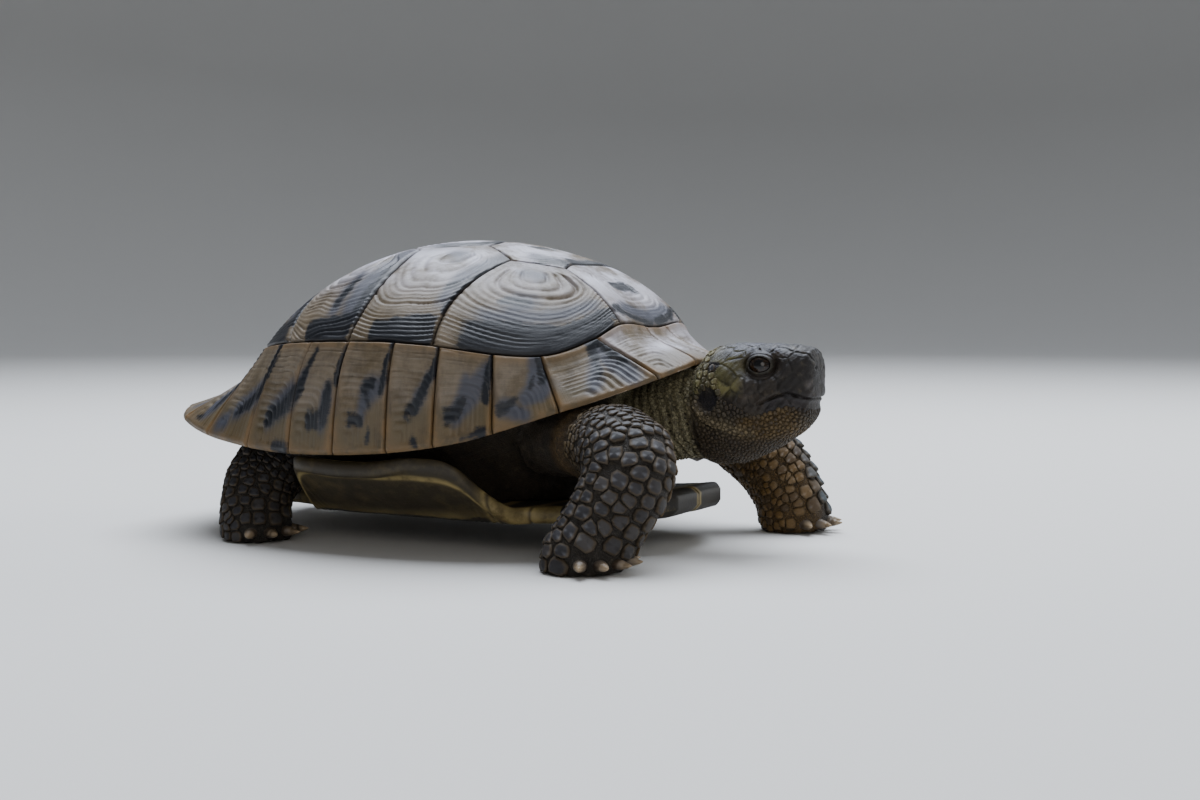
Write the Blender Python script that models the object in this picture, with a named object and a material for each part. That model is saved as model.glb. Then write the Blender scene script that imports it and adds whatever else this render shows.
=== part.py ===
"""A life-size Hermann's tortoise, walking, as a still museum model.

The horny plates of the shell, the plastron, the two eyes, the lower jaw and each soft part are
separate closed solids that meet with a narrow gap. +X is forwards, +Y is the animal's left, +Z is up,
and the soles of the four feet stand at z = 0.
"""

from math import atan2, copysign, cos, degrees, hypot, pi, radians, sin

import bmesh
import bpy
from mathutils import Matrix, Vector

MM = 0.001

# Driving sizes, in millimetres. x runs from the middle of the carapace.
CARAPACE_FRONT = 82.0
CARAPACE_REAR = 87.0
CARAPACE_HALF_WIDTH = 62.0
OUTLINE_POWER = 2.35  # 2 is an ellipse, more is squarer
REAR_WIDENING = 0.063
APEX_X = 8.0
APEX_Z = 85.5
SEAM_RADIUS = 0.70  # where marginal plates meet costal plates, on the unit disc of the carapace
PLATE_THICKNESS = 2.8
RIM_THICKNESS = 1.9
SEAM_GAP = 0.36  # between neighbouring plates
BODY_GAP = 0.9  # between the plates and the faceted body under them
FLESH_GAP = 0.3  # between two soft parts

# Carapace form by angle from the front, in degrees, the same on both sides.
RIM_HEIGHT = [
    (0, 52), (20, 48), (45, 40), (70, 30.5), (95, 26.5), (115, 29), (140, 34), (157, 36), (180, 31),
]
SEAM_HEIGHT = [
    (0, 61), (18, 62), (30, 58), (45, 54), (60, 54.5), (75, 57), (90, 57.5), (130, 54), (180, 52),
]
SEAM_REACH = [
    (0, 0.79), (30, 0.84), (60, 0.93), (90, 0.955), (115, 0.81), (140, 0.66), (160, 0.645), (180, 0.70),
]
RIM_DIP = [(0, 38), (30, 42), (60, 70), (95, 92), (125, 60), (152, 18), (180, 50)]
DOME_POWER = [(0, 1.80), (60, 1.98), (180, 1.98)]
# How far the dome has turned over where it meets the ring of marginal plates.
DOME_TURN = [(0, 72), (60, 72), (100, 68), (125, 55), (145, 48), (180, 48)]

# Seams between plates: angles on the seam ring and on the rim, and places on the unit disc.
MARGINAL_TOPS = [5, 29, 47, 59, 70.5, 79.5, 88, 94, 102.5, 118, 138, 160, 180]
MARGINAL_FEET = [5, 19, 45.5, 60, 72, 81, 90, 97, 107, 121, 137, 157, 180]
COSTAL_FEET = [18, 72, 88.3, 100.5, 150]
VERTEBRAL_SEAMS = [(0.36, 0.155), (0.09, 0.14), (-0.13, 0.14), (-0.36, 0.13)]
VERTEBRAL_CORNERS = [(0.20, 0.215), (-0.015, 0.215), (-0.24, 0.20)]
COSTAL_BOWS = [0.0, 0.05, -0.02, 0.0, 0.0]

# Plastron: half width by x, from the anal plates to the gulars.
PLASTRON_OUTLINE = [
    (-64, 11), (-59, 20), (-50, 28), (-38, 31), (-27, 34), (-21, 46), (-16, 57.5), (-4, 59.5), (10, 59.5),
    (24, 57), (34, 53), (40, 44), (46, 36), (56, 33), (66, 28), (74, 20), (78.5, 13),
]
PLASTRON_FLOOR = 8.5
PLASTRON_THICKNESS = 4.5
BRIDGE_START, BRIDGE_END = 38.0, 57.0  # from the midline, where the bridge rises
BRIDGE_TOP = [(-70, 26), (-16, 26), (0, 25.2), (12, 25.6), (24, 28), (36, 31), (80, 34)]  # height by x
ANAL_NOTCH = 6.0
GULAR_LIFT = 1.5
GULAR_SWELLING = 3.0  # the front edge is this much thicker

# The body under the rim, by angle from the front: its reach over the disc, and its reach at the plastron.
BODY_EDGE = [(0, 0.80), (50, 0.84), (70, 0.93), (100, 0.93), (120, 0.82), (180, 0.76)]
BODY_BASE = [(0, 0.62), (45, 0.58), (75, 0.60), (105, 0.60), (130, 0.56), (180, 0.60)]

# Soft parts as stations: place, half width, half thickness.
NECK = [
    ((46, 0, 31), 14, 10), ((60, 0, 34), 15.5, 11.5),
    ((71, 0, 37.2), 14.5, 12.8), ((82.5, 0, 38.9), 11.8, 13),
]
FORELEG_RIGHT = [
    ((45, -27, 31), 10, 9.5), ((62, -31, 31), 12.5, 10),
    ((75, -38, 31), 12.5, 10), ((80, -42.5, 24.5), 12.3, 9.6),
    ((78, -46, 17), 11, 9), ((74.5, -48.5, 9.5), 10.6, 9),
    ((71.5, -50, 3.8), 11.5, 10), ((71, -50, 0), 10.6, 9.2),
]
FORELEG_LEFT = [
    ((45, 27, 31), 10, 9.5), ((59, 33, 31), 12, 10), ((69.5, 41, 28), 11.6, 10), ((79.5, 44, 20), 11.2, 10),
    ((85.5, 45, 10), 10.6, 9.3), ((86.5, 46, 4), 11, 9.8), ((86.5, 46, 0), 10, 9),
]
HINDLEG_RIGHT = [
    ((-30, -24, 25), 11, 9.5), ((-37, -35, 23), 11.5, 10.5),
    ((-40.5, -42, 17), 10.8, 10.2), ((-40, -46, 9), 10, 9.8),
    ((-38.5, -47.5, 3.5), 10.4, 10), ((-38, -47.5, 0), 9.8, 9.2),
]
HINDLEG_LEFT = [
    ((-34, 24, 25), 11, 9.5), ((-43, 34, 23), 11.5, 10.5),
    ((-49, 40, 17), 10.8, 10.2), ((-51, 43, 9), 10, 9.8),
    ((-51, 44.5, 3.5), 10.4, 10), ((-51, 44.5, 0), 9.8, 9.2),
]
TAIL = [
    ((-52, 2, 22), 8, 8), ((-62, 4, 21), 7.5, 7.5), ((-69, 8, 18.5), 6.2, 6.2), ((-73, 14, 15.5), 4.8, 4.8),
    ((-74, 21, 12.5), 3.3, 3.3), ((-73, 27, 10.5), 1.7, 1.7), ((-72.5, 29.5, 9.8), 0.7, 0.7),
]

# Head sections: x, top, bottom, half width, and how square the section is.
HEAD = [
    (81.6, 53.0, 25.0, 12.0, 2.1), (84.5, 55.2, 24.2, 12.9, 2.2),
    (88, 56.1, 24.0, 13.0, 2.3), (92, 56.4, 24.6, 12.5, 2.4),
    (96, 56.4, 26.0, 11.7, 2.5), (100, 56.3, 28.0, 10.8, 2.7),
    (104, 56.3, 30.4, 9.6, 2.8), (107.3, 56.1, 32.6, 8.6, 2.9),
    (110, 55.7, 34.8, 7.5, 2.9), (112, 55.0, 37.6, 6.3, 2.8),
    (113.3, 53.9, 40.4, 4.9, 2.6), (114.0, 52.4, 43.0, 3.2, 2.4),
]
MOUTH_LINE = [(118, 41.6), (114.5, 41.9), (110.8, 42.8), (107.9, 43.6), (104.2, 42.6), (100.6, 40.8)]
JAW_REAR = [(96.5, 36.5), (95.0, 30.0), (95.5, 20.0), (118, 20.0)]
EYE_PLACE = (99.8, 6.6, 50.7)
EYE_RADIUS = 3.8

CLAW_LENGTH = 7.0
CLAW_RADIUS = 2.1


# ---------------------------------------------------------------- helpers


def clear_scene():
    for old in list(bpy.data.objects):
        bpy.data.objects.remove(old, do_unlink=True)


def finish_material(name, colour, roughness, metallic=0.0):
    """A plain Principled finish, made once for each name."""
    found = bpy.data.materials.get(name)
    if found:
        return found
    made = bpy.data.materials.new(name)
    made.use_nodes = True
    shader = made.node_tree.nodes["Principled BSDF"]
    shader.inputs["Base Color"].default_value = (*colour, 1.0)
    shader.inputs["Roughness"].default_value = roughness
    shader.inputs["Metallic"].default_value = metallic
    return made


def plate_horn():
    return finish_material("plate_horn", (0.36, 0.27, 0.13), 0.42)


def plastron_horn():
    return finish_material("plastron_horn", (0.45, 0.36, 0.16), 0.45)


def scaly_skin():
    return finish_material("scaly_skin", (0.16, 0.13, 0.08), 0.6)


def wet_eye():
    return finish_material("wet_eye", (0.015, 0.012, 0.01), 0.08)


def object_from(bm, name, material):
    """Turns a bmesh, in millimetres, into a named object, in metres."""
    bmesh.ops.triangulate(bm, faces=bm.faces)
    bmesh.ops.recalc_face_normals(bm, faces=bm.faces)
    bmesh.ops.scale(bm, vec=(MM, MM, MM), verts=bm.verts)
    mesh = bpy.data.meshes.new(name)
    bm.to_mesh(mesh)
    bm.free()
    mesh.shade_smooth()
    mesh.set_sharp_from_angle(angle=radians(50))
    mesh.materials.append(material)
    made = bpy.data.objects.new(name, mesh)
    bpy.context.scene.collection.objects.link(made)
    return made


def curve_through(values, at):
    """A smooth value at `at`, through (place, value) pairs in rising order of place."""
    places = [pair[0] for pair in values]
    index = max(0, min(len(places) - 2, sum(place <= at for place in places) - 1))
    before, after = values[max(index - 1, 0)], values[min(index + 2, len(values) - 1)]
    start, end = values[index], values[index + 1]
    span = end[0] - start[0]
    t = (at - start[0]) / span
    leave = (end[1] - before[1]) / (end[0] - before[0]) * span
    arrive = (after[1] - start[1]) / (after[0] - start[0]) * span
    return (
        (2 * t**3 - 3 * t**2 + 1) * start[1]
        + (t**3 - 2 * t**2 + t) * leave
        + (3 * t**2 - 2 * t**3) * end[1]
        + (t**3 - t**2) * arrive
    )


def by_angle(values, phi):
    """curve_through for a quantity that is even about the front and about the rear."""
    mirrored = [(-values[1][0], values[1][1]), *values, (360 - values[-2][0], values[-2][1])]
    return curve_through(mirrored, abs(degrees(phi)))


def loft(rings):
    """A closed bmesh through rings of points that have the same count."""
    bm = bmesh.new()
    loops = [[bm.verts.new(point) for point in ring] for ring in rings]
    for lower, upper in zip(loops, loops[1:]):
        for i in range(len(lower)):
            j = (i + 1) % len(lower)
            bm.faces.new((lower[i], lower[j], upper[j], upper[i]))
    bm.faces.new(reversed(loops[0]))
    bm.faces.new(loops[-1])
    return bm


def swollen_copy(source, by):
    """A hidden cutter: a copy of source whose surface stands out by `by` millimetres."""
    bm = bmesh.new()
    bm.from_mesh(source.data)
    bm.normal_update()
    for vert in bm.verts:
        vert.co += vert.normal * by * MM * min(1.6, vert.calc_shell_factor())
    mesh = bpy.data.meshes.new("cutter")
    bm.to_mesh(mesh)
    bm.free()
    return hidden(bpy.data.objects.new("cutter", mesh))


def hidden(cutter):
    if cutter.name not in bpy.context.scene.collection.objects:
        bpy.context.scene.collection.objects.link(cutter)
    cutter.hide_render = True
    cutter.display_type = "WIRE"
    return cutter


def combine(target, other, operation):
    """Applies one exact Boolean to target and removes the other object."""
    boolean = target.modifiers.new(operation.lower(), "BOOLEAN")
    boolean.operation = operation
    boolean.solver = "EXACT"
    boolean.object = other
    graph = bpy.context.evaluated_depsgraph_get()
    result = bpy.data.meshes.new_from_object(target.evaluated_get(graph))
    target.modifiers.remove(boolean)
    target.data = result
    bpy.data.objects.remove(other, do_unlink=True)


def part_from(target, *neighbours, gap=FLESH_GAP):
    """Cuts target back so that it meets each neighbour across a narrow gap."""
    for neighbour in neighbours:
        combine(target, swollen_copy(neighbour, gap), "DIFFERENCE")


def drop_offcuts(target):
    """Keeps the largest connected body of target."""
    bm = bmesh.new()
    bm.from_mesh(target.data)
    left, bodies = set(bm.verts), []
    while left:
        body, edge = set(), {left.pop()}
        while edge:
            body |= edge
            edge = {link.other_vert(vert) for vert in edge for link in vert.link_edges} - body
        left -= body
        bodies.append(body)
    bodies.sort(key=len)
    bmesh.ops.delete(bm, geom=[vert for body in bodies[:-1] for vert in body], context="VERTS")
    bm.to_mesh(target.data)
    bm.free()


def clear_of_rim(target):
    """Cuts target back from the ring of marginal plates."""
    columns, radii = 48, (0.62, 0.72, 0.82, 0.92, 1.0)
    bm = bmesh.new()
    rows = []
    for radius in radii:
        angles = [2 * pi * i / columns for i in range(columns)]
        rows.append([(radius * cos(angle), radius * sin(angle)) for angle in angles])
    outer = [[bm.verts.new(inside_carapace(p, q, -FLESH_GAP)) for p, q in row] for row in rows]
    depth = PLATE_THICKNESS + FLESH_GAP
    inner = [[bm.verts.new(inside_carapace(p, q, depth)) for p, q in row] for row in rows]
    section = outer + inner[::-1]
    for row, after in zip(section, section[1:] + section[:1]):
        for i in range(columns):
            j = (i + 1) % columns
            bm.faces.new((row[i], row[j], after[j], after[i]))
    combine(target, hidden(object_from(bm, "rim_cutter", scaly_skin())), "DIFFERENCE")


# ---------------------------------------------------------------- carapace


def rim_outline(phi):
    """Plan position of the rim at an angle from the front."""
    power = 2 / OUTLINE_POWER
    c, s = cos(phi), sin(phi)
    length = CARAPACE_FRONT if c > 0 else CARAPACE_REAR
    across = CARAPACE_HALF_WIDTH * (1 - REAR_WIDENING * c)
    return copysign(abs(c) ** power, c) * length, copysign(abs(s) ** power, s) * across


def carapace(p, q):
    """The outer surface over the unit disc: p forwards, q to the left, the rim at radius 1."""
    radius, phi = hypot(p, q), atan2(q, p)
    rim_x, rim_y = rim_outline(phi)
    rim_span, reach = hypot(rim_x, rim_y), by_angle(SEAM_REACH, phi)
    seam_z, rim_z = by_angle(SEAM_HEIGHT, phi), by_angle(RIM_HEIGHT, phi)
    full_turn = radians(by_angle(DOME_TURN, phi))
    if radius <= SEAM_RADIUS:
        turn = full_turn * radius / SEAM_RADIUS
        power = 2 / by_angle(DOME_POWER, phi)
        out = (sin(turn) / sin(full_turn)) ** power if radius > 0 else 0.0
        low = cos(full_turn) ** power
        rise = (cos(turn) ** power - low) / (1 - low)
        x = APEX_X * (1 - out) + rim_x * reach * out
        return Vector((x, rim_y * reach * out, seam_z + (APEX_Z - seam_z) * rise))
    t = (radius - SEAM_RADIUS) / (1 - SEAM_RADIUS)
    out_speed = rim_span * reach * cos(full_turn) / sin(full_turn)
    down_speed = (APEX_Z - seam_z) * sin(full_turn) / (1 - cos(full_turn))
    span = hypot(rim_span * (1 - reach), seam_z - rim_z)
    scale = span / hypot(out_speed, down_speed)
    dip = radians(by_angle(RIM_DIP, phi))
    h_start, h_leave = 2 * t**3 - 3 * t**2 + 1, t**3 - 2 * t**2 + t
    h_end, h_arrive = 3 * t**2 - 2 * t**3, t**3 - t**2
    out = rim_span * (h_start * reach + h_end) + h_leave * out_speed * scale + h_arrive * span * cos(dip)
    z = h_start * seam_z - h_leave * down_speed * scale + h_end * rim_z - h_arrive * span * sin(dip)
    return Vector((rim_x / rim_span * out, rim_y / rim_span * out, z))


def inside_carapace(p, q, depth):
    """The point this far under the outer surface, along its normal."""
    step = 0.01
    along_p = carapace(p + step, q) - carapace(p - step, q)
    along_q = carapace(p, q + step) - carapace(p, q - step)
    return carapace(p, q) - along_p.cross(along_q).normalized() * depth


def arc(radius, start, end):
    """An edge along a circle of the disc, as a function of 0 to 1."""

    def at(t):
        angle = radians(start + (end - start) * t)
        return Vector((radius * cos(angle), radius * sin(angle)))

    return at


def chain(*points):
    """An edge through disc points, as a function of 0 to 1."""
    stops = [Vector(point) for point in points]
    lengths = [0.0]
    for a, b in zip(stops, stops[1:]):
        lengths.append(lengths[-1] + (b - a).length)

    def at(t):
        reach = t * lengths[-1]
        for i in range(len(stops) - 1):
            if reach <= lengths[i + 1] or i == len(stops) - 2:
                return stops[i].lerp(stops[i + 1], (reach - lengths[i]) / (lengths[i + 1] - lengths[i]))

    return at


def bowed(start, end, bow):
    """An edge whose control point lies to the rear of its middle, as a function of 0 to 1."""
    middle = (start + end) / 2 - Vector((bow, 0))
    return lambda t: start * (1 - t) ** 2 + middle * 2 * t * (1 - t) + end * t**2


def patch(foot, top, front, rear):
    """A disc point for (u, v) inside four edges: foot and top run rearward, front and rear run upward."""

    def at(u, v):
        at_foot = foot(0.0) * (1 - u) + foot(1.0) * u
        at_top = top(0.0) * (1 - u) + top(1.0) * u
        across = foot(u) * (1 - v) + top(u) * v
        return across + front(v) * (1 - u) + rear(v) * u - at_foot * (1 - v) - at_top * v

    return at


def plate_depth(radius):
    thinning = max(0.0, (radius - SEAM_RADIUS) / (1 - SEAM_RADIUS))
    return PLATE_THICKNESS + (RIM_THICKNESS - PLATE_THICKNESS) * thinning


def plate(name, place, columns, rows):
    """One horny plate: a grid laid on the carapace, set back from its seams and given its thickness."""
    width = (carapace(*place(1, 0.5)) - carapace(*place(0, 0.5))).length
    height = (carapace(*place(0.5, 1)) - carapace(*place(0.5, 0))).length
    margin_u, margin_v = SEAM_GAP / 2 / width, SEAM_GAP / 2 / height
    bm = bmesh.new()
    p_layer = bm.verts.layers.float.new("p")
    q_layer = bm.verts.layers.float.new("q")
    bmesh.ops.create_grid(bm, x_segments=columns, y_segments=rows, size=0.5)
    for vert in bm.verts:
        u = margin_u + (vert.co.x + 0.5) * (1 - 2 * margin_u)
        v = margin_v + (vert.co.y + 0.5) * (1 - 2 * margin_v)
        vert[p_layer], vert[q_layer] = place(u, v)
        vert.co = carapace(vert[p_layer], vert[q_layer])
    grown = bmesh.ops.extrude_face_region(bm, geom=bm.faces[:])["geom"]
    for vert in (item for item in grown if isinstance(item, bmesh.types.BMVert)):
        p, q = vert[p_layer], vert[q_layer]
        vert.co = inside_carapace(p, q, plate_depth(hypot(p, q)))
    return object_from(bm, name, plate_horn())


def mirrored(edge, side):
    return lambda t: Vector((edge(t).x, side * edge(t).y))


def ring_point(degrees_round):
    return arc(SEAM_RADIUS, degrees_round, degrees_round)(0)


def vertebral_plates():
    seams, corners = VERTEBRAL_SEAMS, VERTEBRAL_CORNERS
    shoulder, hip = ring_point(COSTAL_FEET[0]), ring_point(COSTAL_FEET[-1])
    sides = [[shoulder, seams[0]]]
    sides += [[seams[i], corners[i], seams[i + 1]] for i in range(3)]
    sides += [[seams[3], hip]]
    for number, side in enumerate(sides, 1):
        left = chain(*side)
        right = mirrored(left, -1)
        foot, top = chain(right(0), left(0)), chain(right(1), left(1))
        if number == 1:
            foot = arc(SEAM_RADIUS, -COSTAL_FEET[0], COSTAL_FEET[0])
        if number == 5:
            top = arc(SEAM_RADIUS, 360 - COSTAL_FEET[-1], COSTAL_FEET[-1])
        plate(f"vertebral_{number}", patch(foot, top, right, left), 4, 4)


def costal_plates(side, side_name):
    seams, corners = VERTEBRAL_SEAMS, VERTEBRAL_CORNERS
    inner = [
        [seams[0], corners[0]],
        [corners[0], seams[1], corners[1]],
        [corners[1], seams[2], corners[2]],
        [corners[2], seams[3]],
    ]
    for number in range(1, 5):
        start, end = COSTAL_FEET[number - 1], COSTAL_FEET[number]
        foot, top = arc(SEAM_RADIUS, start, end), chain(*inner[number - 1])
        front, rear = (
            bowed(foot(k), top(k), COSTAL_BOWS[number - 1 + k]) for k in (0, 1)
        )
        edges = [mirrored(edge, side) for edge in (foot, top, front, rear)]
        plate(f"costal_{side_name}_{number}", patch(*edges), 6, 4)


def marginal_plate(name, tops, feet, side=1, columns=2):
    foot = mirrored(arc(1.0, feet[0], feet[1]), side)
    top = mirrored(arc(SEAM_RADIUS, tops[0], tops[1]), side)
    return plate(name, patch(foot, top, chain(foot(0), top(0)), chain(foot(1), top(1))), columns, 4)


def marginal_plates(side, side_name):
    for number in range(1, 12):
        tops = MARGINAL_TOPS[number - 1 : number + 1]
        feet = MARGINAL_FEET[number - 1 : number + 1]
        marginal_plate(f"marginal_{side_name}_{number}", tops, feet, side)
    marginal_plate(f"supracaudal_{side_name}", MARGINAL_TOPS[-2:], MARGINAL_FEET[-2:], side)


def carapace_plates():
    vertebral_plates()
    for side, side_name in ((1, "left"), (-1, "right")):
        costal_plates(side, side_name)
        marginal_plates(side, side_name)
    tops, feet = ((-table[0], table[0]) for table in (MARGINAL_TOPS, MARGINAL_FEET))
    marginal_plate("nuchal", tops, feet)


# ---------------------------------------------------------------- body under the shell


def plastron_floor(x, y):
    """Underside of the plastron: flat along the middle, rising in the bridges and at the gulars."""
    share = max(0.0, min(1.0, (abs(y) - BRIDGE_START) / (BRIDGE_END - BRIDGE_START)))
    rise = (curve_through(BRIDGE_TOP, x) - PLASTRON_THICKNESS - PLASTRON_FLOOR) * share**1.4
    return PLASTRON_FLOOR + rise + GULAR_LIFT * frontness(x) ** 2


def frontness(x):
    """0 behind the front lobe of the plastron, 1 at its tip."""
    return max(0.0, (x - 40) / 38)


def plastron():
    stations, columns = 24, 8
    rear, front = PLASTRON_OUTLINE[0][0], PLASTRON_OUTLINE[-1][0]
    bm = bmesh.new()
    bmesh.ops.create_grid(bm, x_segments=stations, y_segments=columns, size=0.5)
    for vert in bm.verts:
        x = rear + (front - rear) * (vert.co.x + 0.5)
        y = 2 * vert.co.y * curve_through(PLASTRON_OUTLINE, x)
        x += ANAL_NOTCH * max(0.0, 1 - abs(y) / 9) * max(0.0, 1 - (x - rear) / 14)
        vert.co = (x, y, plastron_floor(x, y))
    grown = bmesh.ops.extrude_face_region(bm, geom=bm.faces[:])["geom"]
    for vert in (item for item in grown if isinstance(item, bmesh.types.BMVert)):
        vert.co.z += PLASTRON_THICKNESS + GULAR_SWELLING * frontness(vert.co.x) ** 2
    return object_from(bm, "plastron", plastron_horn())


def trunk_form():
    """The body that fills the shell and shows in its openings, before the plastron is let into it."""
    segments = 32
    dome_radii = [0.05, 0.20, 0.36, 0.52, 0.63, 0.72]
    angles = [2 * pi * i / segments for i in range(segments)]
    covered = PLATE_THICKNESS + BODY_GAP

    def under(radius_at):
        ring = []
        for phi in angles:
            signed = phi if phi <= pi else phi - 2 * pi
            radius = radius_at(signed)
            ring.append(inside_carapace(radius * cos(phi), radius * sin(phi), covered))
        return ring

    rings = [under(lambda _, r=radius: r) for radius in dome_radii]
    rings.append(under(lambda phi: by_angle(BODY_EDGE, phi)))
    belly = []
    for phi in angles:
        x, y = rim_outline(phi)
        reach = by_angle(BODY_BASE, phi if phi <= pi else phi - 2 * pi)
        belly.append(Vector((x * reach, y * reach, PLASTRON_FLOOR + PLASTRON_THICKNESS + FLESH_GAP)))
    for share in (0.5, 1.0):
        rings.append([a.lerp(b, share) for a, b in zip(rings[len(dome_radii)], belly)])
    return object_from(loft(rings), "trunk_form", scaly_skin())


# ---------------------------------------------------------------- soft parts


def along(stations, share):
    """Centre, half width and half thickness at a share of the way along the stations."""
    steps = range(len(stations))
    at = share * (len(stations) - 1)
    centre = Vector([curve_through([(i, stations[i][0][axis]) for i in steps], at) for axis in range(3)])
    return centre, *(curve_through([(i, stations[i][k]) for i in steps], at) for k in (1, 2))


def limb(name, stations, broad, rings, sides=14, flat_foot=True):
    """A limb lofted along its stations, its broad way across turned towards `broad`."""
    loops = []
    for i in range(rings):
        share = i / (rings - 1)
        centre, half_width, half_thickness = along(stations, share)
        ahead = along(stations, min(1.0, share + 0.02))[0] - along(stations, max(0.0, share - 0.02))[0]
        if flat_foot and share > 0.8:
            ahead = ahead.lerp(Vector((0, 0, -ahead.length)), (share - 0.8) / 0.2)
        across = Vector(broad) - ahead * Vector(broad).dot(ahead) / ahead.length_squared
        across.normalize()
        deep = ahead.normalized().cross(across)
        loop = []
        for k in range(sides):
            turn = 2 * pi * k / sides
            loop.append(centre + across * half_width * cos(turn) + deep * half_thickness * sin(turn))
        if flat_foot and i == rings - 1:
            loop = [Vector((point.x, point.y, 0.0)) for point in loop]
        loops.append(loop)
    return object_from(loft(loops), name, scaly_skin())


def claw(place, heading):
    """A blunt curved claw that grows out of a foot and points along heading, in degrees."""
    bm = bmesh.new()
    bmesh.ops.create_cone(
        bm, cap_ends=True, segments=7, radius1=CLAW_RADIUS, radius2=0.6, depth=CLAW_LENGTH
    )
    for vert in bm.verts:
        if vert.co.z > 0:
            vert.co.x -= 0.9
    tilt = Matrix.Rotation(radians(heading), 4, "Z") @ Matrix.Rotation(radians(100), 4, "Y")
    bmesh.ops.transform(bm, matrix=Matrix.Translation(place) @ tilt, verts=bm.verts)
    return object_from(bm, "claw", scaly_skin())


def clawed(foot, stations, headings):
    """Adds one claw for each heading around the front of a foot."""
    centre, half_width = Vector(stations[-1][0]), stations[-1][1]
    for heading in headings:
        away = Vector((cos(radians(heading)), sin(radians(heading)), 0))
        place = centre + away * (half_width + 1.2) + Vector((0, 0, 2.7))
        combine(foot, claw(place, heading), "UNION")
    return foot


def legs(body, belly):
    fore_rings, hind_rings = 13, 10
    front_right = limb("foreleg_right", FORELEG_RIGHT, (0.86, 0.5, 0), fore_rings)
    front_left = limb("foreleg_left", FORELEG_LEFT, (1, -0.1, 0), fore_rings)
    rear_right = limb("hindleg_right", HINDLEG_RIGHT, (1, 0.1, 0), hind_rings)
    rear_left = limb("hindleg_left", HINDLEG_LEFT, (1, -0.1, 0), hind_rings)
    clawed(front_right, FORELEG_RIGHT, (-64, -36, -8, 20, 48))
    clawed(front_left, FORELEG_LEFT, (-46, -18, 10, 38, 66))
    clawed(rear_right, HINDLEG_RIGHT, (-60, -27, 6, 39))
    clawed(rear_left, HINDLEG_LEFT, (-39, -6, 27, 60))
    for leg in (front_right, front_left, rear_right, rear_left):
        part_from(leg, body, belly)
        clear_of_rim(leg)
        drop_offcuts(leg)


# ---------------------------------------------------------------- head


def head_loft():
    sides, rings = 22, 17
    start, end = HEAD[0][0], HEAD[-1][0]
    loops = []
    for i in range(rings):
        share = i / (rings - 1)
        x = start + (end - start) * (1 - (1 - share) ** 1.35)
        tables = ([(station[0], station[k]) for station in HEAD] for k in range(1, 5))
        top, bottom, half_width, power = (curve_through(table, x) for table in tables)
        middle, half_height = (top + bottom) / 2 + 1.0, (top - bottom) / 2
        loop = []
        for k in range(sides):
            turn = 2 * pi * (k + 0.5) / sides
            y = copysign(abs(cos(turn)) ** (2 / power), cos(turn)) * half_width
            lift = copysign(abs(sin(turn)) ** (2 / power), sin(turn))
            z = middle + lift * (half_height - 1.0 if lift > 0 else half_height + 1.0)
            loop.append(Vector((x, y, z)))
        loops.append(loop)
    return loft(loops)


def jaw_block(name, grow):
    """A wide prism under the mouth line, grown by `grow` millimetres upwards and to the rear."""
    outline = [(x, z + grow) for x, z in MOUTH_LINE] + [(x - grow, z) for x, z in JAW_REAR]
    bm = bmesh.new()
    face = bm.faces.new([bm.verts.new((x, -25, z)) for x, z in outline])
    grown = bmesh.ops.extrude_face_region(bm, geom=[face])["geom"]
    far_side = [item for item in grown if isinstance(item, bmesh.types.BMVert)]
    bmesh.ops.translate(bm, verts=far_side, vec=(0, 50, 0))
    return hidden(object_from(bm, name, scaly_skin()))


def eye_ball(name, side, radius):
    bm = bmesh.new()
    bmesh.ops.create_uvsphere(bm, u_segments=14, v_segments=9, radius=radius)
    x, y, z = EYE_PLACE
    turned = Matrix.Translation((x, side * y, z)) @ Matrix.Rotation(radians(90), 4, "X")
    bmesh.ops.transform(bm, matrix=turned, verts=bm.verts)
    return object_from(bm, name, wet_eye())


def head_parts(body):
    """Neck, head, lower jaw and eyes, parted by narrow gaps."""
    neck = limb("neck", NECK, (0, 1, 0), 7, sides=16, flat_foot=False)
    head = object_from(head_loft(), "head", scaly_skin())
    part_from(neck, body, head)
    clear_of_rim(neck)
    drop_offcuts(neck)
    clear_of_rim(head)
    jaw = object_from(head_loft(), "lower_jaw", scaly_skin())
    combine(jaw, jaw_block("jaw_keep", 0.0), "INTERSECT")
    combine(head, jaw_block("jaw_cut", FLESH_GAP), "DIFFERENCE")
    for side, side_name in ((1, "left"), (-1, "right")):
        combine(head, hidden(eye_ball("socket", side, EYE_RADIUS + FLESH_GAP)), "DIFFERENCE")
        eye_ball(f"eye_{side_name}", side, EYE_RADIUS)


def tail(body):
    made = limb("tail", TAIL, (0, 0, 1), 10, sides=10, flat_foot=False)
    part_from(made, body)
    return made


# ---------------------------------------------------------------- whole animal


def stand_on_origin():
    """Parents every part to one empty, moved so that the middle of the footprint is the origin."""
    parts = [obj for obj in bpy.data.objects if obj.type == "MESH" and not obj.hide_render]
    corners = [vert.co for obj in parts for vert in obj.data.vertices]
    middle = [(min(c[k] for c in corners) + max(c[k] for c in corners)) / 2 for k in range(2)]
    base = bpy.data.objects.new("tortoise", None)
    bpy.context.scene.collection.objects.link(base)
    for obj in parts:
        obj.parent = base
    base.location = (-middle[0], -middle[1], 0.0)


def build_tortoise():
    clear_scene()
    carapace_plates()
    belly = plastron()
    body = hidden(trunk_form())
    legs(body, belly)
    head_parts(body)
    tail(body)
    trunk = trunk_form()
    trunk.name = "trunk"
    part_from(trunk, belly)
    bpy.data.objects.remove(body, do_unlink=True)
    stand_on_origin()


build_tortoise()
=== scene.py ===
"""Hermann's tortoise, still, life-size: horn plates, scaly skin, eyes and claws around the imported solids."""

from itertools import product
from math import cos, pi, radians, sin
from types import SimpleNamespace

import bmesh
import bpy
import numpy as np
from mathutils import Matrix, Vector
from mathutils.bvhtree import BVHTree
from mathutils.kdtree import KDTree

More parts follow.
